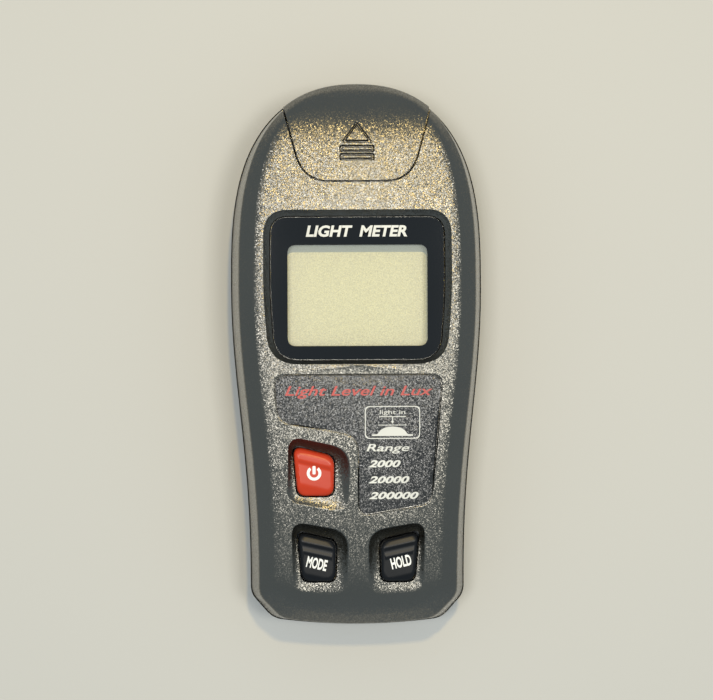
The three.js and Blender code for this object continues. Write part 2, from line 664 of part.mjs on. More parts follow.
// A pan-head self-tapping screw with a cross recess, head down.
function screw(x, y, headZ, headRadius, headHeight, shankRadius, length) {
  const profile = [
    [0, headZ - headHeight],
    [headRadius * 0.6, headZ - headHeight],
    [headRadius, headZ - headHeight * 0.45],
    [headRadius, headZ],
    [shankRadius, headZ],
    [shankRadius, headZ + length - shankRadius * 1.6],
    [0, headZ + length],
  ];
  const body = solid(turned(profile, 10).translate(x, y, 0));
  const arm = headRadius * 0.5;
  const [z0, z1] = [headZ - headHeight - 1, headZ - headHeight * 0.4];
  const cross = block(x - arm, x + arm, y - 0.25, y + 0.25, z0, z1);
  return body.subtract(cross).subtract(block(x - 0.25, x + 0.25, y - arm, y + arm, z0, z1));
}

function lead(points, radius = 0.55) {
  const curve = new THREE.CatmullRomCurve3(points.map((p) => new THREE.Vector3(...p)));
  return tube(curve, radius, 10, 6);
}

// ---------------------------------------------------------------- assembly

const meter = new THREE.Group();

function part(name, shape, color, roughness, metalness = 0) {
  const geometry = shape.isBufferGeometry ? shape : geometryOf(shape);
  const material = new THREE.MeshStandardMaterial({ color, roughness, metalness });
  const mesh = new THREE.Mesh(geometry, material);
  mesh.name = name;
  meter.add(mesh);
}

const CASE_GREY = 0x3f413f;
const BLACK = 0x17191b;
const STEEL = 0xb9bcbe;

part("front_shell", frontShell(), CASE_GREY, 0.5);
part("rear_shell", rearShell(), CASE_GREY, 0.55);
part("sensor_cover", sensorCover(), CASE_GREY, 0.5);
part("battery_door", batteryDoor(), CASE_GREY, 0.55);

part("display_window", lens(), 0x10141a, 0.12);
part("range_label", rangeLabel(), 0x333634, 0.5);
part("lcd_frame", displayFrame(), 0xe6e6e0, 0.6);
part("lcd_panel", block(-22, 22, LCD_Y - 16.6, LCD_Y + 16.6, LCD_TOP - 2.6, LCD_TOP), 0xc9c9a4, 0.3);
const reflectorTop = LCD_TOP - 2.6 - CONTACT;
const reflector = block(-21, 21, LCD_Y - 13, LCD_Y + 13, reflectorTop - 0.3, reflectorTop);
part("lcd_reflector", reflector, 0xe9e7d2, 0.4);
for (const [name, side] of [["zebra_strip_upper", 1], ["zebra_strip_lower", -1]]) {
  const y = LCD_Y + side * 15.2;
  part(name, block(-20, 20, y - 0.9, y + 0.9, BOARD_TOP + CONTACT, reflectorTop), 0x7c6a70, 0.8);
}

for (const [name, key] of Object.entries(KEYS)) {
  part(`${name}_key`, keyCap(key), key.colour, name === "power" ? 0.35 : 0.2);
  part(`${name}_dome`, dome(key), 0x9a9c9e, 0.8);
}
part("keypad_sheet", keypadSheet(), 0x9a9c9e, 0.8);

part("main_board", mainBoard(), 0x1d6a3a, 0.4);
part("controller_chip", resinDrop(8, -13), BLACK, 0.6);
part("amplifier_chip", chip(-10, -13, 4, 5, 1.6, 4), BLACK, 0.6);
part("calibration_trimmer", trimmer(8, -32), 0x2456a8, 0.5);
part("filter_capacitor", capacitor(16, -31), 0x22242a, 0.4);
const crystalBase = BOARD_TOP + CONTACT;
part("clock_crystal", block(18, 21, -19, -11, crystalBase, crystalBase + 2.6), STEEL, 0.3, 1);

part("diffuser_dome", diffuser(), 0xf2f1ea, 0.45);
part("sensor_cup", sensorCup(), BLACK, 0.6);
part("colour_filter", post(0, SENSOR_Y, POCKET_Z - 2.3, POCKET_Z - 1.0, 6.4, 24), 0x5f9c86, 0.1);
part("photodiode", post(0, SENSOR_Y, 16.2, 18.0, 4.2, 20), STEEL, 0.35, 1);
part("sensor_board", block(-9, 9, SENSOR_Y - 9.5, SENSOR_Y + 9.5, 13.8, 14.8), 0x1d6a3a, 0.4);
for (const [name, x] of [["sensor_lead_signal", -2.5], ["sensor_lead_ground", 2.5]]) {
  const route = [[x, 49.5, 13.2], [x, 47.5, 12.6], [x, 44.5, 12.8], [x, 41.6, 14.2], [x, 40.4, 16.0]];
  part(name, lead(route), name.endsWith("signal") ? 0xe8e6df : BLACK, 0.5);
}

const CELL_NAMES = ["battery_cell_left", "battery_cell_middle", "battery_cell_right"];
const SPRING_NAMES = ["battery_spring_left", "battery_spring_middle", "battery_spring_right"];
[-1, 0, 1].forEach((index, i) => {
  part(CELL_NAMES[i], cell(index), 0x2d4f86, 0.35, 0.3);
  part(SPRING_NAMES[i], spring(index), STEEL, 0.3, 1);
});
part("contact_positive", contact(-15.6, -7.2, true, -11.4), STEEL, 0.35, 1);
part("contact_negative", contact(7.2, 15.6, false, 11.4), STEEL, 0.35, 1);
part("contact_link_upper", contact(-4.2, 15.6, true), STEEL, 0.35, 1);
part("contact_link_lower", contact(-15.6, 4.2, false), STEEL, 0.35, 1);
const redRoute = [[-11.4, -6.3, 11.9], [-11.4, -5.6, 13.0], [-11.8, -4.6, 14.4], [-12.4, -3.6, 15.9]];
const blackRoute = [[11.4, -61.0, 12.0], [11.4, -61.6, 13.2], [11.8, -62.0, 14.6], [12.2, -62.2, 15.9]];
part("battery_lead_red", lead(redRoute), 0xb02018, 0.5);
part("battery_lead_black", lead(blackRoute), BLACK, 0.5);

CASE_SCREWS.forEach(([x, y], i) => {
  part(`case_screw_${i + 1}`, screw(x, y, 5.9, 2.5, 1.9, 1.15, 13), STEEL, 0.35, 1);
});
BOARD_SCREWS.forEach(([x, y], i) => {
  part(`board_screw_${i + 1}`, screw(x, y, BOARD_Z - CONTACT, 1.8, 1.3, 0.85, 4.8), STEEL, 0.35, 1);
});

export default meter;
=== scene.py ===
import json
import math

import bpy
from mathutils import Matrix, Vector
from mathutils.geometry import delaunay_2d_cdt


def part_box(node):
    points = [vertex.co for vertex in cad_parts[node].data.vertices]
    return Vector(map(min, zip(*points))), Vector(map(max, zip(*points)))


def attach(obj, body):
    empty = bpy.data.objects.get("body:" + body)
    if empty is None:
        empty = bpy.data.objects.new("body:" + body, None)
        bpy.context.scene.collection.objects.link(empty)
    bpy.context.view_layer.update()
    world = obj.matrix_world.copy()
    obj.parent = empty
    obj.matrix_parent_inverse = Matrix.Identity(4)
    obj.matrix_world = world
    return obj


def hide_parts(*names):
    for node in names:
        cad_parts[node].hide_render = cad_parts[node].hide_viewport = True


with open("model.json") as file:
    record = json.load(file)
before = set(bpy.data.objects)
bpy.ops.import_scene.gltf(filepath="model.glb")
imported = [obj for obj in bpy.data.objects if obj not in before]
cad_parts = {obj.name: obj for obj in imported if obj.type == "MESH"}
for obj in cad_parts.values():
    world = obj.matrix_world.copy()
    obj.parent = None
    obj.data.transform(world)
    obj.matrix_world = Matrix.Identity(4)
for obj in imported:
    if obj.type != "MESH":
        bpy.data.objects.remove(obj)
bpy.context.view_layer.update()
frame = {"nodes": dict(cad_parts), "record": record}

# Shapes are worked out in millimetres and turned to metres when a piece is finished.
MM = 0.001


def box_mm(node):
    """The lowest and highest corners of a CAD node at rest, to the nearest 0.01 mm."""
    low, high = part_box(node)
    return [round(c / MM, 2) for c in low], [round(c / MM, 2) for c in high]


def middle_mm(node):
    return [round((a + b) / 2, 2) for a, b in zip(*box_mm(node))]


# ------------------------------------------------------------------ camera, floor and lights

FOCUS_Z = 15 * MM  # height of the seam between the shells
CAMERA_RISE = 420 * MM  # of the camera above that seam
FIELD_WIDTH = 191.6 * MM  # seen across the image at the height of the seam
CAMERA_X, CAMERA_Y = -12 * MM, 10 * MM
AIM_X, AIM_Y = 0.1 * MM, 1.1 * MM
ROLL = math.radians(-0.24)

SKY_COLOR, SKY_STRENGTH = (0.83, 1.0, 1.12, 1), 0.51
FLOOR_HALF, FLOOR_COLOR = 1.5, (0.51, 0.50, 0.47)
# Square lights that all face the origin, as name, place, side, power and colour.
LIGHTS = (
    ("lamp", (0.035, 0.235, 0.60), 0.03, 1.35, (1.0, 0.74, 0.30)),
    ("right_window", (0.17, 0.02, 0.66), 0.13, 1.45, (1.0, 0.98, 0.9)),
    ("left_window", (-0.13, 0.02, 0.66), 0.13, 1.45, (1.0, 0.98, 0.94)),
)


def make_camera():
    data = bpy.data.cameras.new("camera")
    data.sensor_width = 36
    data.lens = data.sensor_width * CAMERA_RISE / FIELD_WIDTH
    data.clip_start, data.clip_end = 0.01, 10
    data.shift_x = (AIM_X - CAMERA_X) / FIELD_WIDTH
    data.shift_y = (AIM_Y - CAMERA_Y) / FIELD_WIDTH
    camera = bpy.data.objects.new("camera", data)
    camera.location = (CAMERA_X, CAMERA_Y, FOCUS_Z + CAMERA_RISE)
    camera.rotation_euler = (0, 0, ROLL)
    bpy.context.scene.collection.objects.link(camera)
    bpy.context.scene.camera = camera


def area_light(name, location, size, power, color):
    data = bpy.data.lights.new(name, "AREA")
    data.shape = "SQUARE"
    data.size = size
    data.energy = power
    data.color = color
    light = bpy.data.objects.new(name, data)
    light.location = location
    light.rotation_euler = (-Vector(location)).to_track_quat("-Z", "Y").to_euler()
    bpy.context.scene.collection.objects.link(light)


def make_stage():
    scene = bpy.context.scene
    scene.view_settings.view_transform = "Standard"
    world = bpy.data.worlds.new("studio")
    scene.world = world
    world.use_nodes = True
    sky = world.node_tree.nodes["Background"]
    sky.inputs["Color"].default_value = SKY_COLOR
    sky.inputs["Strength"].default_value = SKY_STRENGTH
    for light in LIGHTS:
        area_light(*light)
    half = FLOOR_HALF
    corners = [(-half, -half, 0), (half, -half, 0), (half, half, 0), (-half, half, 0)]
    floor = mesh_object("floor", corners, [(0, 1, 2, 3)])
    paper = finish("floor_paper", FLOOR_COLOR, 0.9, grain=(400, 0.02), mottle=(3, 0.01))
    floor.data.materials.append(paper)


# ------------------------------------------------------------------ materials

GLOSS_SPREAD = 0.15  # share by which the roughness varies to each side
RAMP_LOW, RAMP_HIGH = 0.3, 0.7  # the stretch of the noise over which the colour changes


def finish(
    name,
    color,
    roughness,
    metallic=0.0,
    grain=(1500, 0.0),
    mottle=(60, 0.12),
    specular=0.5,
    coat=0.0,
    alpha=1.0,
    facets=None,
    tint=(1.0, 1.0, 1.0),
):
    """A procedural finish: colour that varies a little from place to place, with a fine bump.

    grain is (scale, depth in millimetres) of the bump, mottle (scale, strength) of the colour
    change, and facets (scale, lean) the little faces that a spark-eroded mould leaves.
    """
    material = bpy.data.materials.new(name)
    material.use_nodes = True
    tree = material.node_tree
    nodes, link = tree.nodes, tree.links.new
    shader = nodes["Principled BSDF"]
    shader.inputs["Metallic"].default_value = metallic
    shader.inputs["Specular IOR Level"].default_value = specular
    shader.inputs["Specular Tint"].default_value = (*tint, 1)
    shader.inputs["Coat Weight"].default_value = coat
    shader.inputs["Coat Roughness"].default_value = roughness
    shader.inputs["Alpha"].default_value = alpha

    place = nodes.new("ShaderNodeTexCoord").outputs["Object"]
    cloud = nodes.new("ShaderNodeTexNoise")
    cloud.inputs["Scale"].default_value = mottle[0]
    cloud.inputs["Detail"].default_value = 4
    link(place, cloud.inputs["Vector"])
    ramp = nodes.new("ShaderNodeValToRGB")
    low, high = ramp.color_ramp.elements
    low.position, high.position = RAMP_LOW, RAMP_HIGH
    low.color = [c * (1 - mottle[1]) for c in color] + [1]
    high.color = [min(1, c * (1 + mottle[1])) for c in color] + [1]
    link(cloud.outputs["Fac"], ramp.inputs["Fac"])
    link(ramp.outputs["Color"], shader.inputs["Base Color"])

    gloss = nodes.new("ShaderNodeMapRange")
    gloss.inputs["To Min"].default_value = max(0.02, roughness * (1 - GLOSS_SPREAD))
    gloss.inputs["To Max"].default_value = min(1, roughness * (1 + GLOSS_SPREAD))
    link(cloud.outputs["Fac"], gloss.inputs["Value"])
    link(gloss.outputs["Result"], shader.inputs["Roughness"])

    normal = None
    if facets:
        flakes = nodes.new("ShaderNodeTexVoronoi")
        flakes.inputs["Scale"].default_value = facets[0]
        link(place, flakes.inputs["Vector"])
        tilt = nodes.new("ShaderNodeVectorMath")
        tilt.operation = "MULTIPLY_ADD"
        tilt.inputs[1].default_value = [2 * facets[1]] * 3
        tilt.inputs[2].default_value = [-facets[1]] * 3
        link(flakes.outputs["Color"], tilt.inputs[0])
        lean = nodes.new("ShaderNodeVectorMath")
        lean.operation = "ADD"
        link(tilt.outputs["Vector"], lean.inputs[0])
        link(nodes.new("ShaderNodeNewGeometry").outputs["Normal"], lean.inputs[1])
        unit = nodes.new("ShaderNodeVectorMath")
        unit.operation = "NORMALIZE"
        link(lean.outputs["Vector"], unit.inputs[0])
        normal = unit.outputs["Vector"]
    if grain[1]:
        texture = nodes.new("ShaderNodeTexNoise")
        texture.inputs["Scale"].default_value = grain[0]
        texture.inputs["Detail"].default_value = 2
        link(place, texture.inputs["Vector"])
        bump = nodes.new("ShaderNodeBump")
        bump.inputs["Strength"].default_value = 1.0
        bump.inputs["Distance"].default_value = grain[1] * MM
        link(texture.outputs["Fac"], bump.inputs["Height"])
        if normal:
            link(normal, bump.inputs["Normal"])
        normal = bump.outputs["Normal"]
    if normal:
        link(normal, shader.inputs["Normal"])
        link(normal, shader.inputs["Coat Normal"])
    return material


# ------------------------------------------------------------------ solids

BEYOND, ABOVE, BELOW = 80, 40, -1  # reach of cutting solids past the ends, the face and the back
SLAB_CLEARANCE = 0.4  # of grid points from a slab's edges, as a share of the spacing
ROW_SPACING = 0.87  # of a grid's rows, as a share of the spacing along a row
MERGE, SLIVER = 1e-5, 1e-9  # points nearer than this are one, smaller triangles are dropped


def mesh_object(name, points, faces):
    mesh = bpy.data.meshes.new(name)
    mesh.from_pydata([tuple(p) for p in points], [], faces)
    mesh.update()
    made = bpy.data.objects.new(name, mesh)
    bpy.context.scene.collection.objects.link(made)
    return made


def combine(base, other, how):
    """Joins, cuts or keeps the overlap of base with other, which is used up."""
    step = base.modifiers.new("step", "BOOLEAN")
    step.operation = how
    step.object = other
    step.solver = "MANIFOLD"
    graph = bpy.context.evaluated_depsgraph_get()
    result = bpy.data.meshes.new_from_object(base.evaluated_get(graph))
    base.modifiers.clear()
    base.data = result
    bpy.data.objects.remove(other)
    return base


def join(base, *others):
    for other in others:
        combine(base, other, "UNION")
    return base


def cut(base, *others):
    for other in others:
        combine(base, other, "DIFFERENCE")
    return base


def overlap(base, other):
    return combine(base, other, "INTERSECT")


def loft(rings, top_faces=None, extra=()):
    """A closed solid through rings of equal count, counter-clockwise from above, lowest first.

    top_faces close it over the last ring's points and the extra ones, or one flat face does.
    """
    count = len(rings[0])
    points = [p for ring in rings for p in ring]
    faces = [tuple(reversed(range(count)))]
    for k in range(len(rings) - 1):
        for i in range(count):
            j = (i + 1) % count
            faces.append((k * count + i, k * count + j, (k + 1) * count + j, (k + 1) * count + i))
    if top_faces is None:
        faces.append(tuple(range((len(rings) - 1) * count, len(rings) * count)))
    else:
        offset = len(points)
        points += extra
        first = (len(rings) - 1) * count
        for face in top_faces:
            faces.append(tuple(i + first if i < count else i - count + offset for i in face))
    return mesh_object("solid", points, faces)


def prism(outline, z0, z1):
    return loft([[(x, y, z0) for x, y in outline], [(x, y, z1) for x, y in outline]])


def block(x0, x1, y0, y1, z0, z1):
    return prism([(x0, y0), (x1, y0), (x1, y1), (x0, y1)], z0, z1)


def mirrored_block(side, xs, ys, z0, z1):
    """A block given for the right-hand side, or its mirror image where side is -1."""
    return block(*sorted((side * xs[0], side * xs[1])), *ys, z0, z1)


def post(x, y, z0, z1, radius, sides=32):
    turn = [2 * math.pi * i / sides for i in range(sides)]
    return prism([(x + radius * math.cos(a), y + radius * math.sin(a)) for a in turn], z0, z1)


def inside(x, y, outline):
    within = False
    x1, y1 = outline[-1][0], outline[-1][1]
    for point in outline:
        x0, y0 = point[0], point[1]
        if (y0 > y) != (y1 > y) and x < (x1 - x0) * (y - y0) / (y1 - y0) + x0:
            within = not within
        x1, y1 = x0, y0
    return within


def sheet(outline, rings, height, spacing, blanks=(), clearance=0.6):
    """Triangles over an outline that keep every ring as edges, with a grid of points between.

    The outline and the rings are lists of (x, y, z). Grid points take their height from
    height(x, y), stay out of the blanks and keep the clearance from points already there.
    Returns the added points and the faces, in which the outline's own points come first.
    """
    points = list(outline)
    edges = [(i, (i + 1) % len(outline)) for i in range(len(outline))]
    for ring in rings:
        start = len(points)
        points += ring
        edges += [(start + i, start + (i + 1) % len(ring)) for i in range(len(ring))]
    near = {}
    for x, y, _ in points:
        near.setdefault((round(x), round(y)), []).append((x, y))
    xs, ys = [p[0] for p in outline], [p[1] for p in outline]
    row = 0
    y = min(ys) + spacing / 2
    while y < max(ys):
        x = min(xs) + spacing * (0.5 if row % 2 else 1.0)
        while x < max(xs):
            reach = range(-1, 2)
            close = any(
                math.hypot(px - x, py - y) < clearance
                for dx in reach
                for dy in reach
                for px, py in near.get((round(x) + dx, round(y) + dy), ())
            )
            if not close and inside(x, y, outline) and not any(inside(x, y, blank) for blank in blanks):
                points.append((x, y, height(x, y)))
            x += spacing
        y += spacing * ROW_SPACING
        row += 1
    flat = [Vector((p[0], p[1])) for p in points]
    whole = [tuple(range(len(outline)))]
    placed, _, faces, origins, _, _ = delaunay_2d_cdt(flat, edges, whole, 1, MERGE)
    final, order = [], {}
    for i, origin in enumerate(origins):
        own = [o for o in origin if o < len(outline)]
        if own:
            order[i] = own[0]
        else:
            order[i] = len(outline) + len(final)
            x, y = placed[i]
            final.append((x, y, points[origin[0]][2] if origin else height(x, y)))
    kept = []
    for face in faces:
        a, b, c = (placed[i] for i in face[:3])
        area = (b - a).cross(c - a)
        if abs(area) > SLIVER:
            ordered = [order[i] for i in face]
            kept.append(tuple(ordered if area > 0 else reversed(ordered)))
    return final, kept


def slab(outline, top, thickness, spacing=2.0, hole=None):
    """A sheet of even thickness whose upper side follows top(x, y), with at most one hole."""
    lifted = [(x, y, top(x, y)) for x, y in outline]
    loops = [[(x, y, top(x, y)) for x, y in hole]] if hole else []
    blanks = [hole] if hole else []
    added, faces = sheet(lifted, loops, top, spacing, blanks, spacing * SLAB_CLEARANCE)
    points = lifted + added
    if hole:
        def centre(face):
            return [sum(points[i][k] for i in face) / len(face) for k in (0, 1)]

        faces = [f for f in faces if not inside(*centre(f), hole)]
    count = len(points)
    lower = [(x, y, z - thickness) for x, y, z in points]
    directed = {}  # every face's edges, in a fixed order
    for face in faces:
        for a, b in zip(face, face[1:] + face[:1]):
            directed[(a, b)] = True
    sides = [(a, a + count, b + count, b) for a, b in directed if (b, a) not in directed]
    under = [tuple(i + count for i in reversed(face)) for face in faces]
    return mesh_object("slab", points + lower, sides + faces + under)


def complete(piece, name, body, material, replaced=(), smooth=35):
    """Names a solid made in millimetres, turns it to metres, gives it its finish and parents it to its
    body's empty.
    """
    piece.data.transform(Matrix.Scale(MM, 4))
    piece.name = piece.data.name = name
    piece.data.polygons.foreach_set("use_smooth", [True] * len(piece.data.polygons))
    piece.data.set_sharp_from_angle(angle=math.radians(smooth))
    piece.data.materials.clear()
    piece.data.materials.append(material)
    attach(piece, body)
    if replaced:
        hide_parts(*replaced)
    return piece


# ------------------------------------------------------------------ the case's own form

CASE_LOW, CASE_HIGH = box_mm("rear_shell")
END_MARGIN = 0.01  # keeps the ends inside the CAD's own box
CASE_TOP = round(CASE_HIGH[1] - END_MARGIN, 2)
CASE_BOTTOM = round(CASE_LOW[1] + END_MARGIN, 2)
HALF_WIDTH, FOOT_HALF_WIDTH, WAIST_Y = CASE_HIGH[0], 28.6, 17.4
SIDE_EASE = 1.2  # above 1, the side widens later on its way up from the foot
FRONT_BASE = box_mm("front_shell")[0][2]
FRONT_GAP = 0.25  # from the level where the shells part up to the front shell
PARTING_Z = FRONT_BASE - FRONT_GAP
# The face: its highest level, the arch from end to end and the crown from side to side.
FACE_TOP, ARCH_Y, ARCH_RADIUS, CROWN, CROWN_HALF = 30.39, 15.0, 605, 0.6, 26
NOSE_Y, NOSE_LENGTH, NOSE_DROP = -58, 11, 3.0
BROW_Y, BROW_LENGTH, BROW_DROP = 56, 12.5, 3.4
WALL, GAP, CONTACT = 2.2, 0.35, 0.1  # wall, clearance around moving parts, play under the lens
# A corner of the battery end, as (in from the side, up from the end).
CORNER = [(8.1, 1.3), (6.0, 1.6), (4.5, 3.2), (1.3, 6.8), (0.15, 8.1), (0.0, 10.1)]


def bend(p0, p1, p2, steps):
    """Points of a quadratic curve, without its first."""
    share = [i / steps for i in range(1, steps + 1)]
    weights = [((1 - t) ** 2, 2 * t * (1 - t), t * t) for t in share]
    return [tuple(u * a + v * b + w * c for a, b, c in zip(p0, p1, p2)) for u, v, w in weights]


def plan(side=0, top=0, bottom=0, fullness=2.2, fine=1):
    """The case's outline at one level, each side moved in by its own inset.

    fullness above 2 squares the shoulders of the sensor end, and fine multiplies the points.
    """
    waist, foot = HALF_WIDTH - side, FOOT_HALF_WIDTH - side
    end, tip = CASE_BOTTOM + bottom, CASE_TOP - top
    flat, turn, slope, low_bend, high_bend, straight = [(foot - x, end + y) for x, y in CORNER]
    start = straight[1]
    right = [(0, end)]
    right += bend((0, end), (flat[0] / 2, end), flat, 4 * fine)
    right += bend(flat, turn, slope, 3 * fine)
    right += [low_bend]
    right += bend(low_bend, high_bend, straight, 3 * fine)
    for i in range(1, 8 * fine + 1):
        rise = i / (8 * fine)
        x = foot + (waist - foot) * math.sin(math.pi / 2 * rise**SIDE_EASE) ** 2
        right.append((x, start + (WAIST_Y - start) * rise))
    steps = 16 * fine
    for i in range(1, steps + 1):
        angle = math.pi / 2 * i / steps
        x = waist * math.cos(angle) ** (2 / fullness) if i < steps else 0
        right.append((x, WAIST_Y + (tip - WAIST_Y) * math.sin(angle) ** (2 / 3)))
    return right + [(-x, y) for x, y in reversed(right[1:-1])]


def face_height(x, y):
    arch = (y - ARCH_Y) ** 2 / (2 * ARCH_RADIUS)
    nose = NOSE_DROP * ((NOSE_Y - y) / NOSE_LENGTH) ** 2 if y < NOSE_Y else 0
    brow = BROW_DROP * ((y - BROW_Y) / BROW_LENGTH) ** 2 if y > BROW_Y else 0
    return FACE_TOP - arch - CROWN * (x / CROWN_HALF) ** 2 - nose - brow


# The wall from the seam up to the face: insets at the sides and both ends, fullness, share of
# the way up to the face, and depth below the face.
WALL_PATH = [
    (0.3, 0.3, 0.3, 2.2, 0.0, 0.0),
    (2.5, 1.2, 0.8, 2.3, 0.82, 0.0),
    (6.4, 3.0, 3.4, 2.72, 1.0, 0.25),
    (7.7, 4.6, 5.2, 2.8, 1.0, 0.0),
]
SOFTNESS = (0, 0.1, 0.3, 0)  # how far the rounding reaches from each point of that path
FACE_SPACING = 2.6  # of the grid of points over the face


def wall_levels(steps=7):
    levels = [WALL_PATH[0]]
    for before, here, after, reach in zip(WALL_PATH, WALL_PATH[1:], WALL_PATH[2:], SOFTNESS[1:]):
        into = tuple(h + (b - h) * min(reach, 0.45) for h, b in zip(here, before))
        out = tuple(h + (a - h) * reach for h, a in zip(here, after))
        levels.append(into)
        levels += bend(into, here, out, steps)
    return levels + [WALL_PATH[-1]]


def body_rings(inset, drop, base, fine):
    rings = []
    for side, top, bottom, fullness, share, depth in wall_levels():
        outline = plan(side + inset, top + inset, bottom + inset, fullness, fine)
        ring = []
        for x, y in outline:
            ring.append((x, y, base + share * (face_height(x, y) - depth - drop - base)))
        rings.append(ring)
    return rings


def front_body(inset=0.0, drop=0.0, base=FRONT_BASE, fine=1, features=(), blanks=(), height=None):
    """The case above the seam as a full solid, each wall moved in and the face lowered.

    features are rings pressed into the face, and blanks the outlines that hold no grid points.
    """
    rings = body_rings(inset, drop, base, fine)
    lowered = height or (lambda x, y: face_height(x, y) - drop)
    extra, faces = sheet(rings[-1], list(features), lowered, FACE_SPACING, blanks)
    return loft(rings, faces, extra)


# The rear shell's wall from its flat back up to the seam, as (inset, height).
REAR_LEVELS = [
    (6.4, 0.0), (5.9, 0.04), (5.3, 0.25), (4.6, 0.7), (3.9, 1.35), (3.2, 2.2), (2.6, 3.2),
    (2.0, 4.7), (1.4, 6.8), (0.8, 9.4), (0.3, 12.2), (0.05, 14.1), (0.0, PARTING_Z - 0.3),
]
REAR_RIM = [(0.0, 14.85), (0.2, 14.7), (0.6, 15.12)]  # a shadow groove along the seam
LIFT_END = 11  # up to this height, raising the back also raises the wall in proportion


def rear_body(inset=0.0, lift=0.0, height=PARTING_Z, fine=1, rim=False):
    """The case below the seam as a full solid, moved in by inset and raised by lift."""
    rings = []
    for all_round, z in REAR_LEVELS + (REAR_RIM if rim else [(0, height)]):
        outline = plan(all_round + inset, all_round + inset, all_round + inset, 2.2, fine)
        level = z if z > LIFT_END else lift + z * (LIFT_END - lift) / LIFT_END
        rings.append([(x, y, level) for x, y in outline])
    return loft(rings)


# ------------------------------------------------------------------ outlines on the face

COVER_Y = box_mm("sensor_cover")[0][1]
COVER_HALF, COVER_HALF_Y, COVER_SPREAD = 15.2, 50.5, 0.27  # half width there, and its growth
COVER_SHOULDER_Y, COVER_FLAT = 53, 7.5  # where the corners start, and half the straight edge


def cover_plan(gap):
    """The sensor cover's outline on the face, grown by gap, and open past the sensor end."""
    def half(y):
        return COVER_HALF + COVER_SPREAD * (y - COVER_HALF_Y) + gap

    low, high, shoulder = COVER_Y - gap, BEYOND, COVER_SHOULDER_Y
    corner = half(COVER_Y) + 0.1
    outline = [(half(high), high), (-half(high), high), (-half(shoulder), shoulder)]
    outline += bend((-half(shoulder), shoulder), (-corner, low), (-COVER_FLAT, low), 14)
    outline += [(COVER_FLAT, low)]
    return outline + bend((COVER_FLAT, low), (corner, low), (half(shoulder), shoulder), 14)


LENS_LOW, LENS_HIGH = box_mm("display_window")
WINDOW_Y = middle_mm("display_window")[1]
WINDOW_HALF = [round((high - low) / 2, 2) for low, high in zip(LENS_LOW[:2], LENS_HIGH[:2])]
WINDOW_TAPER = 0.9  # how much narrower each side is at the battery end
WINDOW_CORNERS = (4.5, 6.5)  # at the sensor end and at the battery end
LENS_TOP, LENS_THICK = LENS_HIGH[2], round(LENS_HIGH[2] - LENS_LOW[2], 2)
CLEAR_Y, CLEAR_HALF = 15.55, (18.2, 13.15)  # the see-through part of the lens
CLEAR_CORNER = 2.2
LCD_TOP = box_mm("lcd_panel")[1][2]


def window_plan(grow_x, grow_y=None, shift=0.0, steps=8):
    """The window's outline, grown to the sides and the ends and shifted along the case."""
    grow_y = grow_x if grow_y is None else grow_y
    x = WINDOW_HALF[0] + grow_x
    foot = x - WINDOW_TAPER
    top = WINDOW_Y + shift + WINDOW_HALF[1] + grow_y
    low = WINDOW_Y + shift - WINDOW_HALF[1] - grow_y
    upper, lower = [max(corner + grow_x, 1) for corner in WINDOW_CORNERS]
    middle = WINDOW_Y + 6
    right = [(foot - lower, low)]
    right += bend(right[-1], (foot, low), (foot + 0.15, low + lower), steps)
    right += bend(right[-1], (x + 0.1, WINDOW_Y - 2), (x, middle), 4)
    right += [(x - 0.05, top - upper)]
    right += bend(right[-1], (x - 0.1, top), (x - upper, top), steps)
    return right + [(-a, b) for a, b in reversed(right)]


def corners_of(x0, x1, y0, y1, size):
    """A rectangle for rounded(), with the same rounding at each corner."""
    return [(x0, y0, size), (x1, y0, size), (x1, y1, size), (x0, y1, size)]


def rounded(corners, grow=0.0, steps=6):
    """A polygon with rounded corners, each given as (x, y, cut), with its edges moved outwards."""
    count = len(corners)
    at = [Vector((x, y)) for x, y, _ in corners]
    moved = []
    for i in range(count):
        before = (at[i] - at[i - 1]).normalized()
        after = (at[(i + 1) % count] - at[i]).normalized()
        outward = Vector((before.y + after.y, -before.x - after.x))
        moved.append(at[i] + outward * (grow / (1 + before.dot(after))))
    outline = []
    for i, (_, _, size) in enumerate(corners):
        here = moved[i]
        back = here + (moved[i - 1] - here).normalized() * size
        on = here + (moved[(i + 1) % count] - here).normalized() * size
        outline.append((back.x, back.y))
        outline += bend(tuple(back), tuple(here), tuple(on), steps)
    return outline


# Corners as (x, y, how much of each side its rounding takes).
LABEL = [
    (0.3, -41.7, 2.8), (18.9, -38.6, 3.0), (21.8, -5.3, 3.4),
    (-21.7, -5.3, 3.4), (-20.7, -17.1, 3.4), (0.3, -20.6, 4.8),
]
POWER_CAP = [(-15.8, -36.75, 2.3), (-6.4, -36.75, 2.6), (-6.2, -26.4, 2.6), (-17.0, -23.7, 2.8)]
POWER_PIT = [(-18.5, -38.2, 3.0), (-2.5, -41.2, 4.8), (-2.1, -24.4, 5.2), (-18.1, -21.0, 3.8)]
MODE_CAP = [(-14.7, -59.4, 2.4), (-6.0, -59.4, 2.4), (-5.8, -48.8, 2.1), (-15.9, -46.4, 2.3)]
MODE_PIT = [(-17.1, -61.9, 3.0), (-2.9, -63.6, 4.8), (-2.5, -46.0, 4.8), (-17.4, -43.4, 3.8)]


def mirrored(corners):
    return [(-x, y, size) for x, y, size in (corners[1], corners[0], corners[3], corners[2])]


class Key:
    """One key: its cap, its pit, and the heights that both share."""

    def __init__(self, name, cap, pit):
        self.name, self.cap, self.pit = name, cap, pit
        self.x = sum(c[0] for c in cap) / len(cap)
        self.y = sum(c[1] for c in cap) / len(cap)
        self.face = face_height(self.x, self.y)
        self.seat = self.face - 2.0
        self.guide = self.seat - 2.0


POWER = Key("power", POWER_CAP, POWER_PIT)
MODE = Key("mode", MODE_CAP, MODE_PIT)
HOLD = Key("hold", mirrored(MODE_CAP), mirrored(MODE_PIT))
KEYS = (POWER, MODE, HOLD)

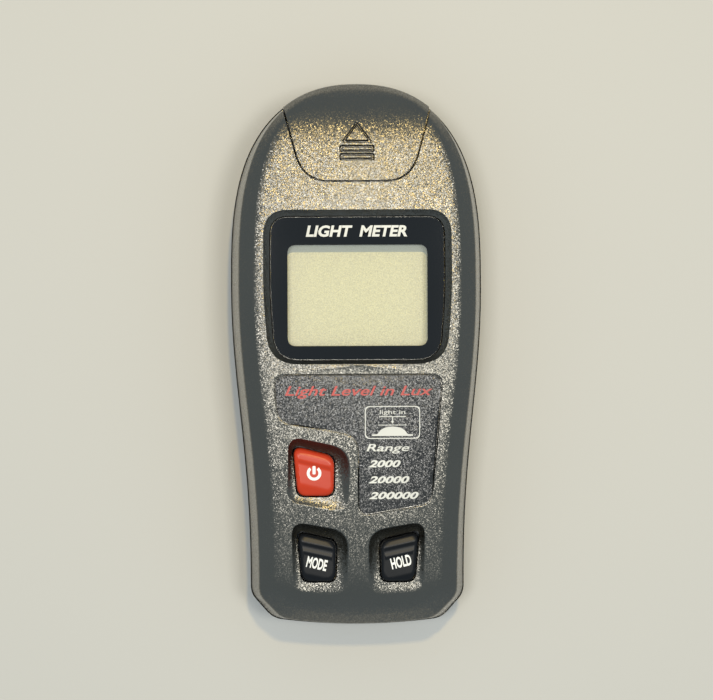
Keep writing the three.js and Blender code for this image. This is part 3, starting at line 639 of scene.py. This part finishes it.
SENSOR_Y, POCKET_Z = middle_mm("sensor_cup")[1], box_mm("sensor_cup")[1][2]
CASE_SCREWS = [middle_mm(f"case_screw_{i}")[:2] for i in range(1, 5)]
BAY = {"half": 17.2, "low": -59.0, "high": -9.5, "top": 12.9}
DOOR_HIGH = box_mm("battery_door")[1]
DOOR = {"start": DOOR_HIGH[1], "end": DOOR_HIGH[2], "thick": 1.8, "tongue": 1.2}
DOOR["half"] = round(DOOR_HIGH[0] - DOOR["tongue"], 2)


def ease(t):
    """A smooth step from 0 to 1 as t goes from 0 to 1."""
    t = max(0.0, min(1.0, t))
    return t * t * (3 - 2 * t)


# ------------------------------------------------------------------ front shell

LABEL_DROP, LABEL_FLOOR = 0.15, 0.75
PIT_SCOOP = 0.3  # share of a pit's depth that is lost at its battery end
RECESS_SLOPE = 1.75  # run of the window recess's side walls
PIT_SCOOP_LENGTH = 6  # over which a pit gets shallower
# A pit's side from its rim to the key's opening, as (share of the way out, share of the depth).
PIT_SIDE = (
    (1.09, 0.0), (1.05, 0.0), (1.0, 0.03), (0.95, 0.09), (0.88, 0.2), (0.78, 0.36), (0.66, 0.53),
    (0.52, 0.68), (0.36, 0.81), (0.18, 0.92), (0.0, 1.0),
)
# The window recess from its rim down its slope, as (share of the slope's run, depth below the
# face), and then down to the lens, as (share of the run, height).
RECESS_RIM = ((1.05, 0.0), (1.02, 0.0), (0.98, 0.04), (0.92, 0.16), (0.85, 0.38))
RECESS_FOOT = ((0.14, LENS_TOP + 0.08), (0.05, LENS_TOP - 0.1), (0.0, LENS_TOP - 0.4))
RECESS_END_SLOPE, RECESS_SHIFT = 1.35, 0.35
# The moat around the label, from the face in to the label's floor, as (growth, depth).
LABEL_MOAT = ((0.6, 0.0), (0.5, 0.0), (0.36, 0.08), (0.32, 0.9), (0.1, 0.95), (0.02, LABEL_FLOOR))
# Rails that hold the cover's legs in the sensor pocket.
RAIL_Y, RAIL_TOP, LIP_LOW = (52, 63.2), 25.2, 24.0
RAIL_X, LIP_X = (13.7, 15.2), (12.5, 14.9)
SCREW_BOSS, PILOT_HOLE, CUP_BORE = 2.9, 1.35, 8.3  # radii


def pit_rings(key):
    """Rings from a pit's rim down its dished side to the cap's opening, and through it.

    The pit is shallower towards the battery end, where a finger slides in.
    """
    inner, outer = rounded(key.cap, 0.4), rounded(key.pit, 0.0)
    rings = []
    for share, fall in PIT_SIDE:
        ring = []
        for (x0, y0), (x1, y1) in zip(inner, outer):
            x, y = x0 + (x1 - x0) * share, y0 + (y1 - y0) * share
            top = face_height(x, y)
            depth = 1 - PIT_SCOOP * ease((key.y + 0.5 - y0) / PIT_SCOOP_LENGTH)
            ring.append((x, y, top - (top - key.seat) * depth * fall))
        rings.append(ring)
    rings.append([(x, y, key.guide - 1) for x, y in rounded(key.cap, GAP)])
    return rings


def window_rings():
    """Rings from the rim of the window recess down to the lens's seat and the opening under it."""
    def recess(share):
        return window_plan(0.2 + RECESS_SLOPE * share, 0.2 + RECESS_END_SLOPE * share, RECESS_SHIFT * share)

    seat = LENS_TOP - LENS_THICK - CONTACT
    rings = [[(x, y, face_height(x, y) - edge) for x, y in recess(share)] for share, edge in RECESS_RIM]
    rings += [[(x, y, z) for x, y in recess(share)] for share, z in RECESS_FOOT]
    for grow, z in ((0.15, seat), (-2.0, seat), (-2.1, seat - 3)):
        rings.append([(x, y, z) for x, y in window_plan(grow)])
    return rings


def label_rings():
    rings = []
    for grow, drop in LABEL_MOAT:
        rings.append([(x, y, face_height(x, y) - drop) for x, y in rounded(LABEL, grow)])
    return rings


def make_front():
    label_floor = rounded(LABEL, 0.02)

    def height(x, y):
        return face_height(x, y) - (LABEL_FLOOR if inside(x, y, label_floor) else 0)

    features = window_rings() + label_rings()
    blanks = [window_plan(2.36, 1.82, 0.42)]
    for key in KEYS:
        features += pit_rings(key)
        blanks.append(rounded(key.pit, 0.4))
    shell = front_body(fine=2, features=features, blanks=blanks, height=height)

    # The hollow stays clear of the pocket, the window's seat, the pits and the screw bosses.
    hollow = front_body(WALL, WALL, base=8)
    thick = [prism(cover_plan(2.3), 7, ABOVE)]
    thick += [prism(window_plan(1.6), LENS_TOP - LENS_THICK - 1.2, ABOVE)]
    thick += [prism(rounded(key.pit, 0.6), key.guide, ABOVE) for key in KEYS]
    thick += [post(x, y, 7, ABOVE, SCREW_BOSS) for x, y in CASE_SCREWS]
    cut(hollow, *thick)
    cut(shell, hollow)

    # The sensor pocket, the wall behind the cover's rim and the space behind that wall.
    behind_wall = overlap(front_body(4.0, 0, base=8), prism(cover_plan(2.25), 7, POCKET_Z - 2))
    rim_space = cut(prism(cover_plan(GAP), 7, ABOVE), front_body(2.3, 0, base=6))
    cut(shell, behind_wall, prism(cover_plan(GAP + 0.2), POCKET_Z, ABOVE), rim_space)
    for side in (-1, 1):
        web = mirrored_block(side, RAIL_X, RAIL_Y, POCKET_Z - 0.5, RAIL_TOP)
        lip = mirrored_block(side, LIP_X, RAIL_Y, LIP_LOW, RAIL_TOP)
        join(shell, web, lip)
    cut(shell, post(0, SENSOR_Y, POCKET_Z - 3, POCKET_Z + 0.5, CUP_BORE, 64))
    for x, y in CASE_SCREWS:
        cut(shell, post(x, y, 10, 20, PILOT_HOLE))
    return shell


# ------------------------------------------------------------------ sensor cover

ARROW_APEX, ARROW_BASE, ARROW_HALF = 60.4, 55.6, 3.5
BARS, BAR_HALF = ((53.1, 54.3), (50.95, 52.15)), 4.2  # below the arrow, as (low, high)
GROOVE, GROOVE_DEPTH = 0.33, 1.2  # half the width, and depth
# A groove's outer side down from the face and its inner side back up, as (growth, depth).
GROOVE_OUTER = ((0.13, 0.0), (0.08, 0.0), (0.0, 0.06), (-0.28, GROOVE_DEPTH))
GROOVE_INNER = ((-0.28, GROOVE_DEPTH), (0.0, 0.06), (0.06, 0.0), (0.1, 0.0))
LEG_X, LEG_FOOT_X, LEG_Y = (10.9, 12.1), (11, 13.3), (52, 63)
LEG_LOW, LEG_TOP, LEG_FOOT_TOP = POCKET_Z + 0.4, 28.6, 23.6
COVER_STANDS, COVER_WALL, COVER_SKIN = 0.5, 1.5, 1.8  # proud of the wall, and thicknesses


def arrow_outlines():
    half, cut_size = ARROW_HALF, 0.5
    triangle = [(-half, ARROW_BASE, cut_size), (half, ARROW_BASE, cut_size), (0, ARROW_APEX, cut_size)]
    return [triangle] + [corners_of(-BAR_HALF, BAR_HALF, low, high, 0.58) for low, high in BARS]


def arrow_rings():
    rings = []
    for outline in arrow_outlines():
        for grow, drop in GROOVE_OUTER:
            rings.append([(x, y, face_height(x, y) - drop) for x, y in rounded(outline, GROOVE + grow)])
        for grow, drop in GROOVE_INNER:
            rings.append([(x, y, face_height(x, y) - drop) for x, y in rounded(outline, -GROOVE - grow)])
    return rings


def make_cover():
    blanks = [rounded(outline, 0.6) for outline in arrow_outlines()]
    base = PARTING_Z + 0.4
    solid = front_body(-COVER_STANDS, 0, base, fine=2, features=arrow_rings(), blanks=blanks)
    cover = overlap(solid, prism(cover_plan(0), PARTING_Z, ABOVE))
    cut(cover, front_body(COVER_WALL, COVER_SKIN, base=PARTING_Z - 2))
    for side in (-1, 1):
        leg = mirrored_block(side, LEG_X, LEG_Y, LEG_LOW, LEG_TOP)
        foot = mirrored_block(side, LEG_FOOT_X, LEG_Y, LEG_LOW, LEG_FOOT_TOP)
        join(cover, overlap(join(leg, foot), front_body(0, 0.6)))
    return cover


# ------------------------------------------------------------------ rear shell and battery door


DOOR_LEDGE = 2.2  # how deep the room for the door goes in from the outside of the case
DOOR_PLAY, DOOR_SEAT = 0.3, DOOR["thick"] + 0.3
TONGUE_LOW, TONGUE_Y = 1.0, -64  # underside of the door's tongues and where they end
LINK_SLOT_X, LINK_SLOT_Z = (9.6, 13.2), (10.3, 11.6)  # openings in the bay's end walls
TOWER, HEAD_BORE, SHANK_BORE = 3.9, 2.9, 1.5  # radii
GRIP_HALF, GRIP_START, GRIP_STEP, GRIP_WIDTH, GRIP_COUNT = 8, -18.5, 1.9, 0.9, 6
DOOR_ARROW = [(0, -37.5, 0.4), (4.5, -32.0, 0.4), (-4.5, -32.0, 0.4)]


def make_rear():
    shell = rear_body(fine=2, rim=True)
    cut(shell, rear_body(WALL, 2, PARTING_Z + 1))
    low, high, wall = BAY["low"], BAY["high"], 1.5
    box = block(-BAY["half"] - 2, BAY["half"] + 2, low - wall, high + wall, 0.5, BAY["top"] + 1.3)
    door_side = DOOR["half"] + DOOR["tongue"] + 1.6
    skin = cut(rear_body(DOOR_LEDGE, DOOR_SEAT), rear_body(3.7, 3.5, PARTING_Z + 1))
    overlap(skin, block(-door_side, door_side, -BEYOND, DOOR["start"] + 2, 0, PARTING_Z - 0.2))
    join(shell, box, skin)
    for x, y in CASE_SCREWS:
        join(shell, overlap(post(x, y, DOOR["thick"] + 0.4, PARTING_Z - 0.1, TOWER), rear_body()))

    # The battery bay, the room for the door, the tongues' slots and the link contacts' openings.
    cut(shell, block(-BAY["half"], BAY["half"], low, high, BELOW, BAY["top"]))
    half, edge = DOOR["half"] + DOOR_PLAY, DOOR["start"] + DOOR_PLAY
    room = block(-half, half, -BEYOND, edge, BELOW, DOOR["end"] + DOOR_PLAY)
    cut(shell, cut(room, rear_body(DOOR_LEDGE, DOOR_SEAT)))
    slot = half + DOOR["tongue"]
    cut(shell, block(-slot, slot, -BEYOND, edge, TONGUE_LOW - DOOR_PLAY, DOOR_SEAT))
    cut(shell, mirrored_block(-1, LINK_SLOT_X, (high - 1, high + 3), *LINK_SLOT_Z))
    cut(shell, mirrored_block(1, LINK_SLOT_X, (low - 3, low + 1), *LINK_SLOT_Z))
    for x, y in CASE_SCREWS:
        cut(shell, post(x, y, BELOW, 6, HEAD_BORE), post(x, y, 5, PARTING_Z + 1, SHANK_BORE))
    return shell


def make_door():
    half, thick = DOOR["half"], DOOR["thick"]
    door = overlap(rear_body(fine=2), block(-half, half, -BEYOND, DOOR["start"], BELOW, DOOR["end"]))
    cut(door, rear_body(thick, thick, PARTING_Z + 1))
    reach = half + DOOR["tongue"]
    join(door, block(-reach, reach, TONGUE_Y, DOOR["start"], TONGUE_LOW, thick))
    # A thumb grip: a row of grooves with an arrow that points the way it slides.
    for i in range(GRIP_COUNT):
        y = GRIP_START - i * GRIP_STEP
        groove = corners_of(-GRIP_HALF, GRIP_HALF, y, y + GRIP_WIDTH, 0.4)
        cut(door, prism(rounded(groove), BELOW, 0.5))
    cut(door, prism(rounded(DOOR_ARROW), BELOW, 0.4))
    return door


# ------------------------------------------------------------------ window, label and print


def label_top(x, y):
    return face_height(x, y) - LABEL_DROP


def make_label():
    return slab(rounded(LABEL), label_top, 0.5, 2.4)


def clear_plan(grow=0.0):
    x, y = CLEAR_HALF[0] + grow, CLEAR_HALF[1] + grow
    return rounded(corners_of(-x, x, CLEAR_Y - y, CLEAR_Y + y, CLEAR_CORNER))


def make_window():
    def top(x, y):
        return LENS_TOP

    border = slab(window_plan(0.0), top, LENS_THICK, 4.0, hole=clear_plan())
    pane = slab(clear_plan(-0.02), lambda x, y: LENS_TOP - 0.02, LENS_THICK - 0.3, 6.0)
    return border, pane


def make_painted_shadow_band():
    """A dark grey-green sheet on the panel, open below, that shows only as a band along the top of the
    clear part: painted shadow that the lens's black border casts on the panel.
    """
    half, low, high = CLEAR_HALF[0] + 0.15, 2.1, 26.95
    hole = rounded(corners_of(-half, half, low, high, 1.6))
    return slab(clear_plan(0.8), lambda x, y: LCD_TOP + 0.06, 0.05, 6.0, hole=hole)


def lettering(words, x, y, height, width, top, shear=0.0, turn=0.0, weight=0.0, lift=0.05):
    """Plain letters laid on a surface. x, y is their middle; they fill the height and width."""
    curve = bpy.data.curves.new("words", "FONT")
    curve.body = words
    curve.size = 4
    curve.shear = shear
    curve.offset = weight
    curve.extrude = 0.03
    curve.resolution_u = 3
    made = bpy.data.objects.new("words", curve)
    bpy.context.scene.collection.objects.link(made)
    graph = bpy.context.evaluated_depsgraph_get()
    mesh = bpy.data.meshes.new_from_object(made.evaluated_get(graph))
    bpy.data.objects.remove(made)
    xs, ys = [v.co.x for v in mesh.vertices], [v.co.y for v in mesh.vertices]
    middle_x, middle_y = (min(xs) + max(xs)) / 2, (min(ys) + max(ys)) / 2
    scale_x, scale_y = width / (max(xs) - min(xs)), height / (max(ys) - min(ys))
    c, s = math.cos(turn), math.sin(turn)
    for v in mesh.vertices:
        a, b = (v.co.x - middle_x) * scale_x, (v.co.y - middle_y) * scale_y
        px, py = x + a * c - b * s, y + a * s + b * c
        v.co = (px, py, top(px, py) + lift + v.co.z)
    piece = bpy.data.objects.new("words", mesh)
    bpy.context.scene.collection.objects.link(piece)
    return piece


def gather(pieces):
    """Several small solids that lie apart as one piece."""
    points, faces = [], []
    for piece in pieces:
        start = len(points)
        points += [tuple(v.co) for v in piece.data.vertices]
        faces += [tuple(start + i for i in p.vertices) for p in piece.data.polygons]
        bpy.data.objects.remove(piece)
    return mesh_object("gathered", points, faces)


INK = 0.06
PICTOGRAM = (1.75, 16.1, -21.75, -13.2)  # left, right, low and high edges of its frame
# The range lines as (words, x, y, height, width, lean, weight).
RANGE_LINES = (
    ("Range", 7.7, -24.35, 2.5, 11.2, 0.25, 0.05),
    ("2000", 6.85, -28.25, 1.9, 8.4, 0.3, 0.13),
    ("20000", 8.0, -32.45, 1.9, 10.7, 0.3, 0.13),
    ("200000", 9.25, -36.6, 1.9, 13.0, 0.3, 0.13),
)


def inked(outline, top=label_top, hole=None):
    return slab(outline, lambda x, y: top(x, y) + INK - 0.01, INK, 1.5, hole=hole)


def make_white_print():
    """A dome under a level line with an arrow from above, in a frame, and the range lines."""
    left, right, low, high = PICTOGRAM
    box = corners_of(left, right, low, high, 1.3)
    base = low + 0.95
    middle = (left + right) / 2
    dome = [(middle - 5.3, base - 0.2), (middle + 5.3, base - 0.2), (middle + 5.3, base + 0.2)]
    dome += [(middle + 4.0, base + 0.25)]
    for i in range(1, 12):
        angle = math.pi * i / 12
        dome.append((middle + 3.7 * math.cos(angle), base + 0.25 + 2.0 * math.sin(angle)))
    dome += [(middle - 4.0, base + 0.25), (middle - 5.3, base + 0.2)]
    arrow_top, arrow_low = -16.1, base + 2.95
    arrow = [(middle - 0.14, arrow_top), (middle - 0.14, arrow_low + 0.7), (middle - 0.42, arrow_low + 0.7)]
    arrow += [(middle, arrow_low), (middle + 0.42, arrow_low + 0.7), (middle + 0.14, arrow_low + 0.7)]
    arrow += [(middle + 0.14, arrow_top)]
    bars = [
        corners_of(middle - 3.5, middle + 3.5, arrow_top + 0.02, arrow_top + 0.24, 0.05),
        corners_of(middle - 3.7, middle + 3.7, base + 2.55, base + 2.72, 0.05),
    ]
    pieces = [inked(rounded(box), hole=rounded(box, -0.24)), inked(dome), inked(arrow)]
    pieces += [inked(rounded(bar)) for bar in bars]
    pieces.append(lettering("light in", middle, -14.95, 1.45, 6.6, label_top, weight=0.02))
    for words, x, y, tall, wide, lean, weight in RANGE_LINES:
        pieces.append(lettering(words, x, y, tall, wide, label_top, shear=lean, weight=weight))
    return gather(pieces)


def make_red_print():
    return lettering("Light Level in Lux", 0.2, -9.6, 3.3, 38.4, label_top, shear=0.3, weight=0.04)


def make_title():
    def top(x, y):
        return LENS_TOP

    return lettering("LIGHT  METER", -0.2, 32.3, 3.0, 26.4, top, shear=0.2, weight=0.14, lift=0.02)


# ------------------------------------------------------------------ keys


CAP_REACH = 6.2  # from a cap's middle to its lower edge
POWER_LENGTH, POWER_SLANT = 12.2, 0.245  # length of the cap's top, and slant of its edges
DARK_LENGTH, DARK_SLANT = 12.4, 0.22


def power_top(key, x, y):
    """Top of the power cap: a ramp near its upper edge, a level middle and a falling foot."""
    slope = -POWER_SLANT * (x - key.x)
    u = (y - slope - (key.y - CAP_REACH)) / POWER_LENGTH
    ridge = 0.55 * (ease((u - 0.66) / 0.09) - 0.75 * ease((u - 0.84) / 0.16))
    foot = -0.75 * ease((0.26 - u) / 0.26)
    return key.face + 0.15 + ridge + foot


def dark_top(key, x, y):
    """Top of a black cap: a finger rest at its upper edge, a groove below it and a flat."""
    side = 1 if key.x < 0 else -1
    slope = -DARK_SLANT * side * (x - key.x)
    u = (y - slope - (key.y - CAP_REACH)) / DARK_LENGTH
    low = 0.2 * (ease((u - 0.56) / 0.05) - ease((u - 0.61) / 0.10))
    high = 0.28 * (ease((u - 0.75) / 0.05) - ease((u - 0.80) / 0.12))
    foot = -0.55 * ease((0.16 - u) / 0.16)
    return key.face + 0.05 + low + high + foot


CAP_EDGE = ((0.0, 0.95), (-0.1, 0.55), (-0.28, 0.26), (-0.55, 0.08), (-0.9, 0.0))  # (growth, depth)
BRIM_DROP = 0.3  # how far a cap reaches below the guide


def make_cap(key, top):
    """A cap whose edges are rounded, from its brim to its shaped top."""
    brim = key.guide - BRIM_DROP
    rings = [[(x, y, brim) for x, y in rounded(key.cap, 0.0)]]
    for grow, drop in CAP_EDGE:
        rings.append([(x, y, top(key, x, y) - drop) for x, y in rounded(key.cap, grow)])
    extra, faces = sheet(rings[-1], [], lambda x, y: top(key, x, y), 0.38, clearance=0.2)
    return loft(rings, faces, extra)


ICON_PLACE, ICON_OUTER, ICON_INNER = (-11.5, -30.65), 1.9, 1.15
ICON_GAP = 38  # degrees that the ring leaves open to each side of the bar


def make_power_icon():
    x, y = ICON_PLACE
    ring, steps = [], 28
    gap = math.radians(ICON_GAP)
    spread = [gap + (2 * math.pi - 2 * gap) * i / steps for i in range(steps + 1)]
    for angle in spread:
        ring.append((x + ICON_OUTER * math.sin(angle), y + ICON_OUTER * math.cos(angle)))
    for angle in reversed(spread):
        ring.append((x + ICON_INNER * math.sin(angle), y + ICON_INNER * math.cos(angle)))
    ring.reverse()

    def top(px, py):
        return power_top(POWER, px, py)

    bar = rounded(corners_of(x - 0.4, x + 0.4, y - 0.3, y + ICON_OUTER, 0.3))
    return gather([inked(ring, top), inked(bar, top)])


def make_key_words(key, words, turn):
    aside, below = (-0.25, 1.0) if key.x < 0 else (0.55, 0.6)

    def top(x, y):
        return dark_top(key, x, y)

    x, y, turn = key.x + aside, key.y - below, math.radians(turn)
    return lettering(words, x, y, 2.95, 5.35, top, turn=turn, weight=0.12, lift=0.02)


# ------------------------------------------------------------------ everything


CASE_COLOR = (0.012, 0.0122, 0.0105)
WARM = (1.0, 0.95, 0.82)  # tint of the plastic's sheen


def build_case():
    shell = finish(
        "case_plastic", CASE_COLOR, 0.28,
        facets=(4700, 0.155), mottle=(90, 0.08), specular=1.0, coat=0.75, tint=WARM,
    )
    smooth_shell = finish(
        "case_plastic_back", CASE_COLOR, 0.32, facets=(5200, 0.12), specular=0.9, coat=0.7, tint=WARM
    )
    complete(make_front(), "front_case", "case", shell, ["front_shell"], 30)
    complete(make_cover(), "slide_cover", "cover", shell, ["sensor_cover"], 30)
    complete(make_rear(), "rear_case", "case", smooth_shell, ["rear_shell"], 30)
    complete(make_door(), "door_panel", "door", smooth_shell, ["battery_door"], 30)


def build_face():
    label = finish("label_film", (0.008, 0.008, 0.008), 0.28, facets=(4500, 0.18), specular=0.5, coat=0.3)
    black = finish("window_ink", (0.001, 0.0013, 0.002), 0.06, mottle=(40, 0.2))
    clear = finish("window_clear", (0.9, 0.95, 0.9), 0.05, alpha=0.10, mottle=(40, 0.02))
    white = finish("white_ink", (0.60, 0.60, 0.56), 0.5, grain=(2600, 0.01))
    red = finish("red_ink", (0.45, 0.06, 0.05), 0.5, grain=(2600, 0.01))
    complete(make_label(), "range_film", "case", label, ["range_label"], 30)
    border, pane = make_window()
    complete(border, "window_border", "case", black, ["display_window"], 30)
    complete(pane, "window_pane", "case", clear, (), 30)
    # The band's grey-green colour is painted shadow where the lens border shades the panel.
    shadow_band_paint = finish("painted_shadow_band", (0.10, 0.13, 0.095), 0.35, mottle=(900, 0.05))
    complete(make_painted_shadow_band(), "painted_shadow_band", "case", shadow_band_paint)
    complete(make_title(), "window_title", "case", white)
    complete(make_white_print(), "label_white_print", "case", white)
    complete(make_red_print(), "label_red_print", "case", red)


def build_keys():
    red = finish(
        "red_key_plastic", (0.46, 0.033, 0.006), 0.34,
        grain=(1500, 0.006), mottle=(150, 0.05), specular=0.35,
    )
    black = finish(
        "black_key_plastic", (0.0025, 0.003, 0.0045), 0.38,
        grain=(1500, 0.004), mottle=(150, 0.1), specular=0.24,
    )
    white = finish("key_ink", (0.78, 0.78, 0.75), 0.45, grain=(2600, 0.01))
    power = make_cap(POWER, power_top)
    complete(power, "power_cap", "power_button", red, ["power_key"], 50)
    complete(make_power_icon(), "power_icon", "power_button", white)
    for key, words, turn in ((MODE, "MODE", -13), (HOLD, "HOLD", 13)):
        name, body = key.name, f"{key.name}_button"
        cap = make_cap(key, dark_top)
        complete(cap, f"{name}_cap", body, black, [f"{name}_key"], 50)
        complete(make_key_words(key, words, turn), f"{name}_words", body, white)


INSIDE = {
    "white_plastic": ((0.62, 0.62, 0.58), 0.5, {}),
    "lcd_glass": ((0.435, 0.395, 0.18), 0.3, {"grain": (2400, 0.02), "mottle": (3200, 0.32)}),
    "reflector_film": ((0.8, 0.79, 0.68), 0.4, {}),
    "contact_rubber": ((0.2, 0.14, 0.15), 0.8, {"grain": (4000, 0.02)}),
    "keypad_rubber": ((0.32, 0.33, 0.34), 0.7, {"grain": (2000, 0.01)}),
    "circuit_board": ((0.02, 0.14, 0.05), 0.3, {"grain": (900, 0.02), "mottle": (400, 0.35)}),
    "black_resin": ((0.012, 0.012, 0.013), 0.5, {"grain": (1500, 0.01)}),
    "trimmer_plastic": ((0.03, 0.1, 0.4), 0.4, {}),
    "capacitor_sleeve": ((0.02, 0.02, 0.03), 0.3, {}),
    "nickel_steel": ((0.62, 0.62, 0.6), 0.28, {"metallic": 1.0, "grain": (900, 0.006)}),
    "diffuser_plastic": ((0.86, 0.85, 0.8), 0.45, {"grain": (2500, 0.006), "mottle": (80, 0.03)}),
    "filter_glass": ((0.25, 0.5, 0.38), 0.1, {}),
    "white_wire": ((0.8, 0.8, 0.78), 0.4, {}),
    "black_wire": ((0.02, 0.02, 0.02), 0.4, {}),
    "red_wire": ((0.5, 0.02, 0.015), 0.4, {}),
    "cell_sleeve": ((0.05, 0.12, 0.28), 0.25, {"metallic": 0.4, "mottle": (300, 0.2)}),
}


def finish_inside():
    """The nodes that keep their own shape get a procedural finish by material slot."""
    made = {name: finish(name, color, rough, **more) for name, (color, rough, more) in INSIDE.items()}
    slots = {part["node"]: part["material_slot"] for part in frame["record"]["subparts"]}
    for name, node in frame["nodes"].items():
        if slots[name] in made:
            node.data.materials.clear()
            node.data.materials.append(made[slots[name]])
            node.data.polygons.foreach_set("use_smooth", [True] * len(node.data.polygons))
            node.data.set_sharp_from_angle(angle=math.radians(40))


make_camera()
make_stage()
build_case()
build_face()
build_keys()
finish_inside()
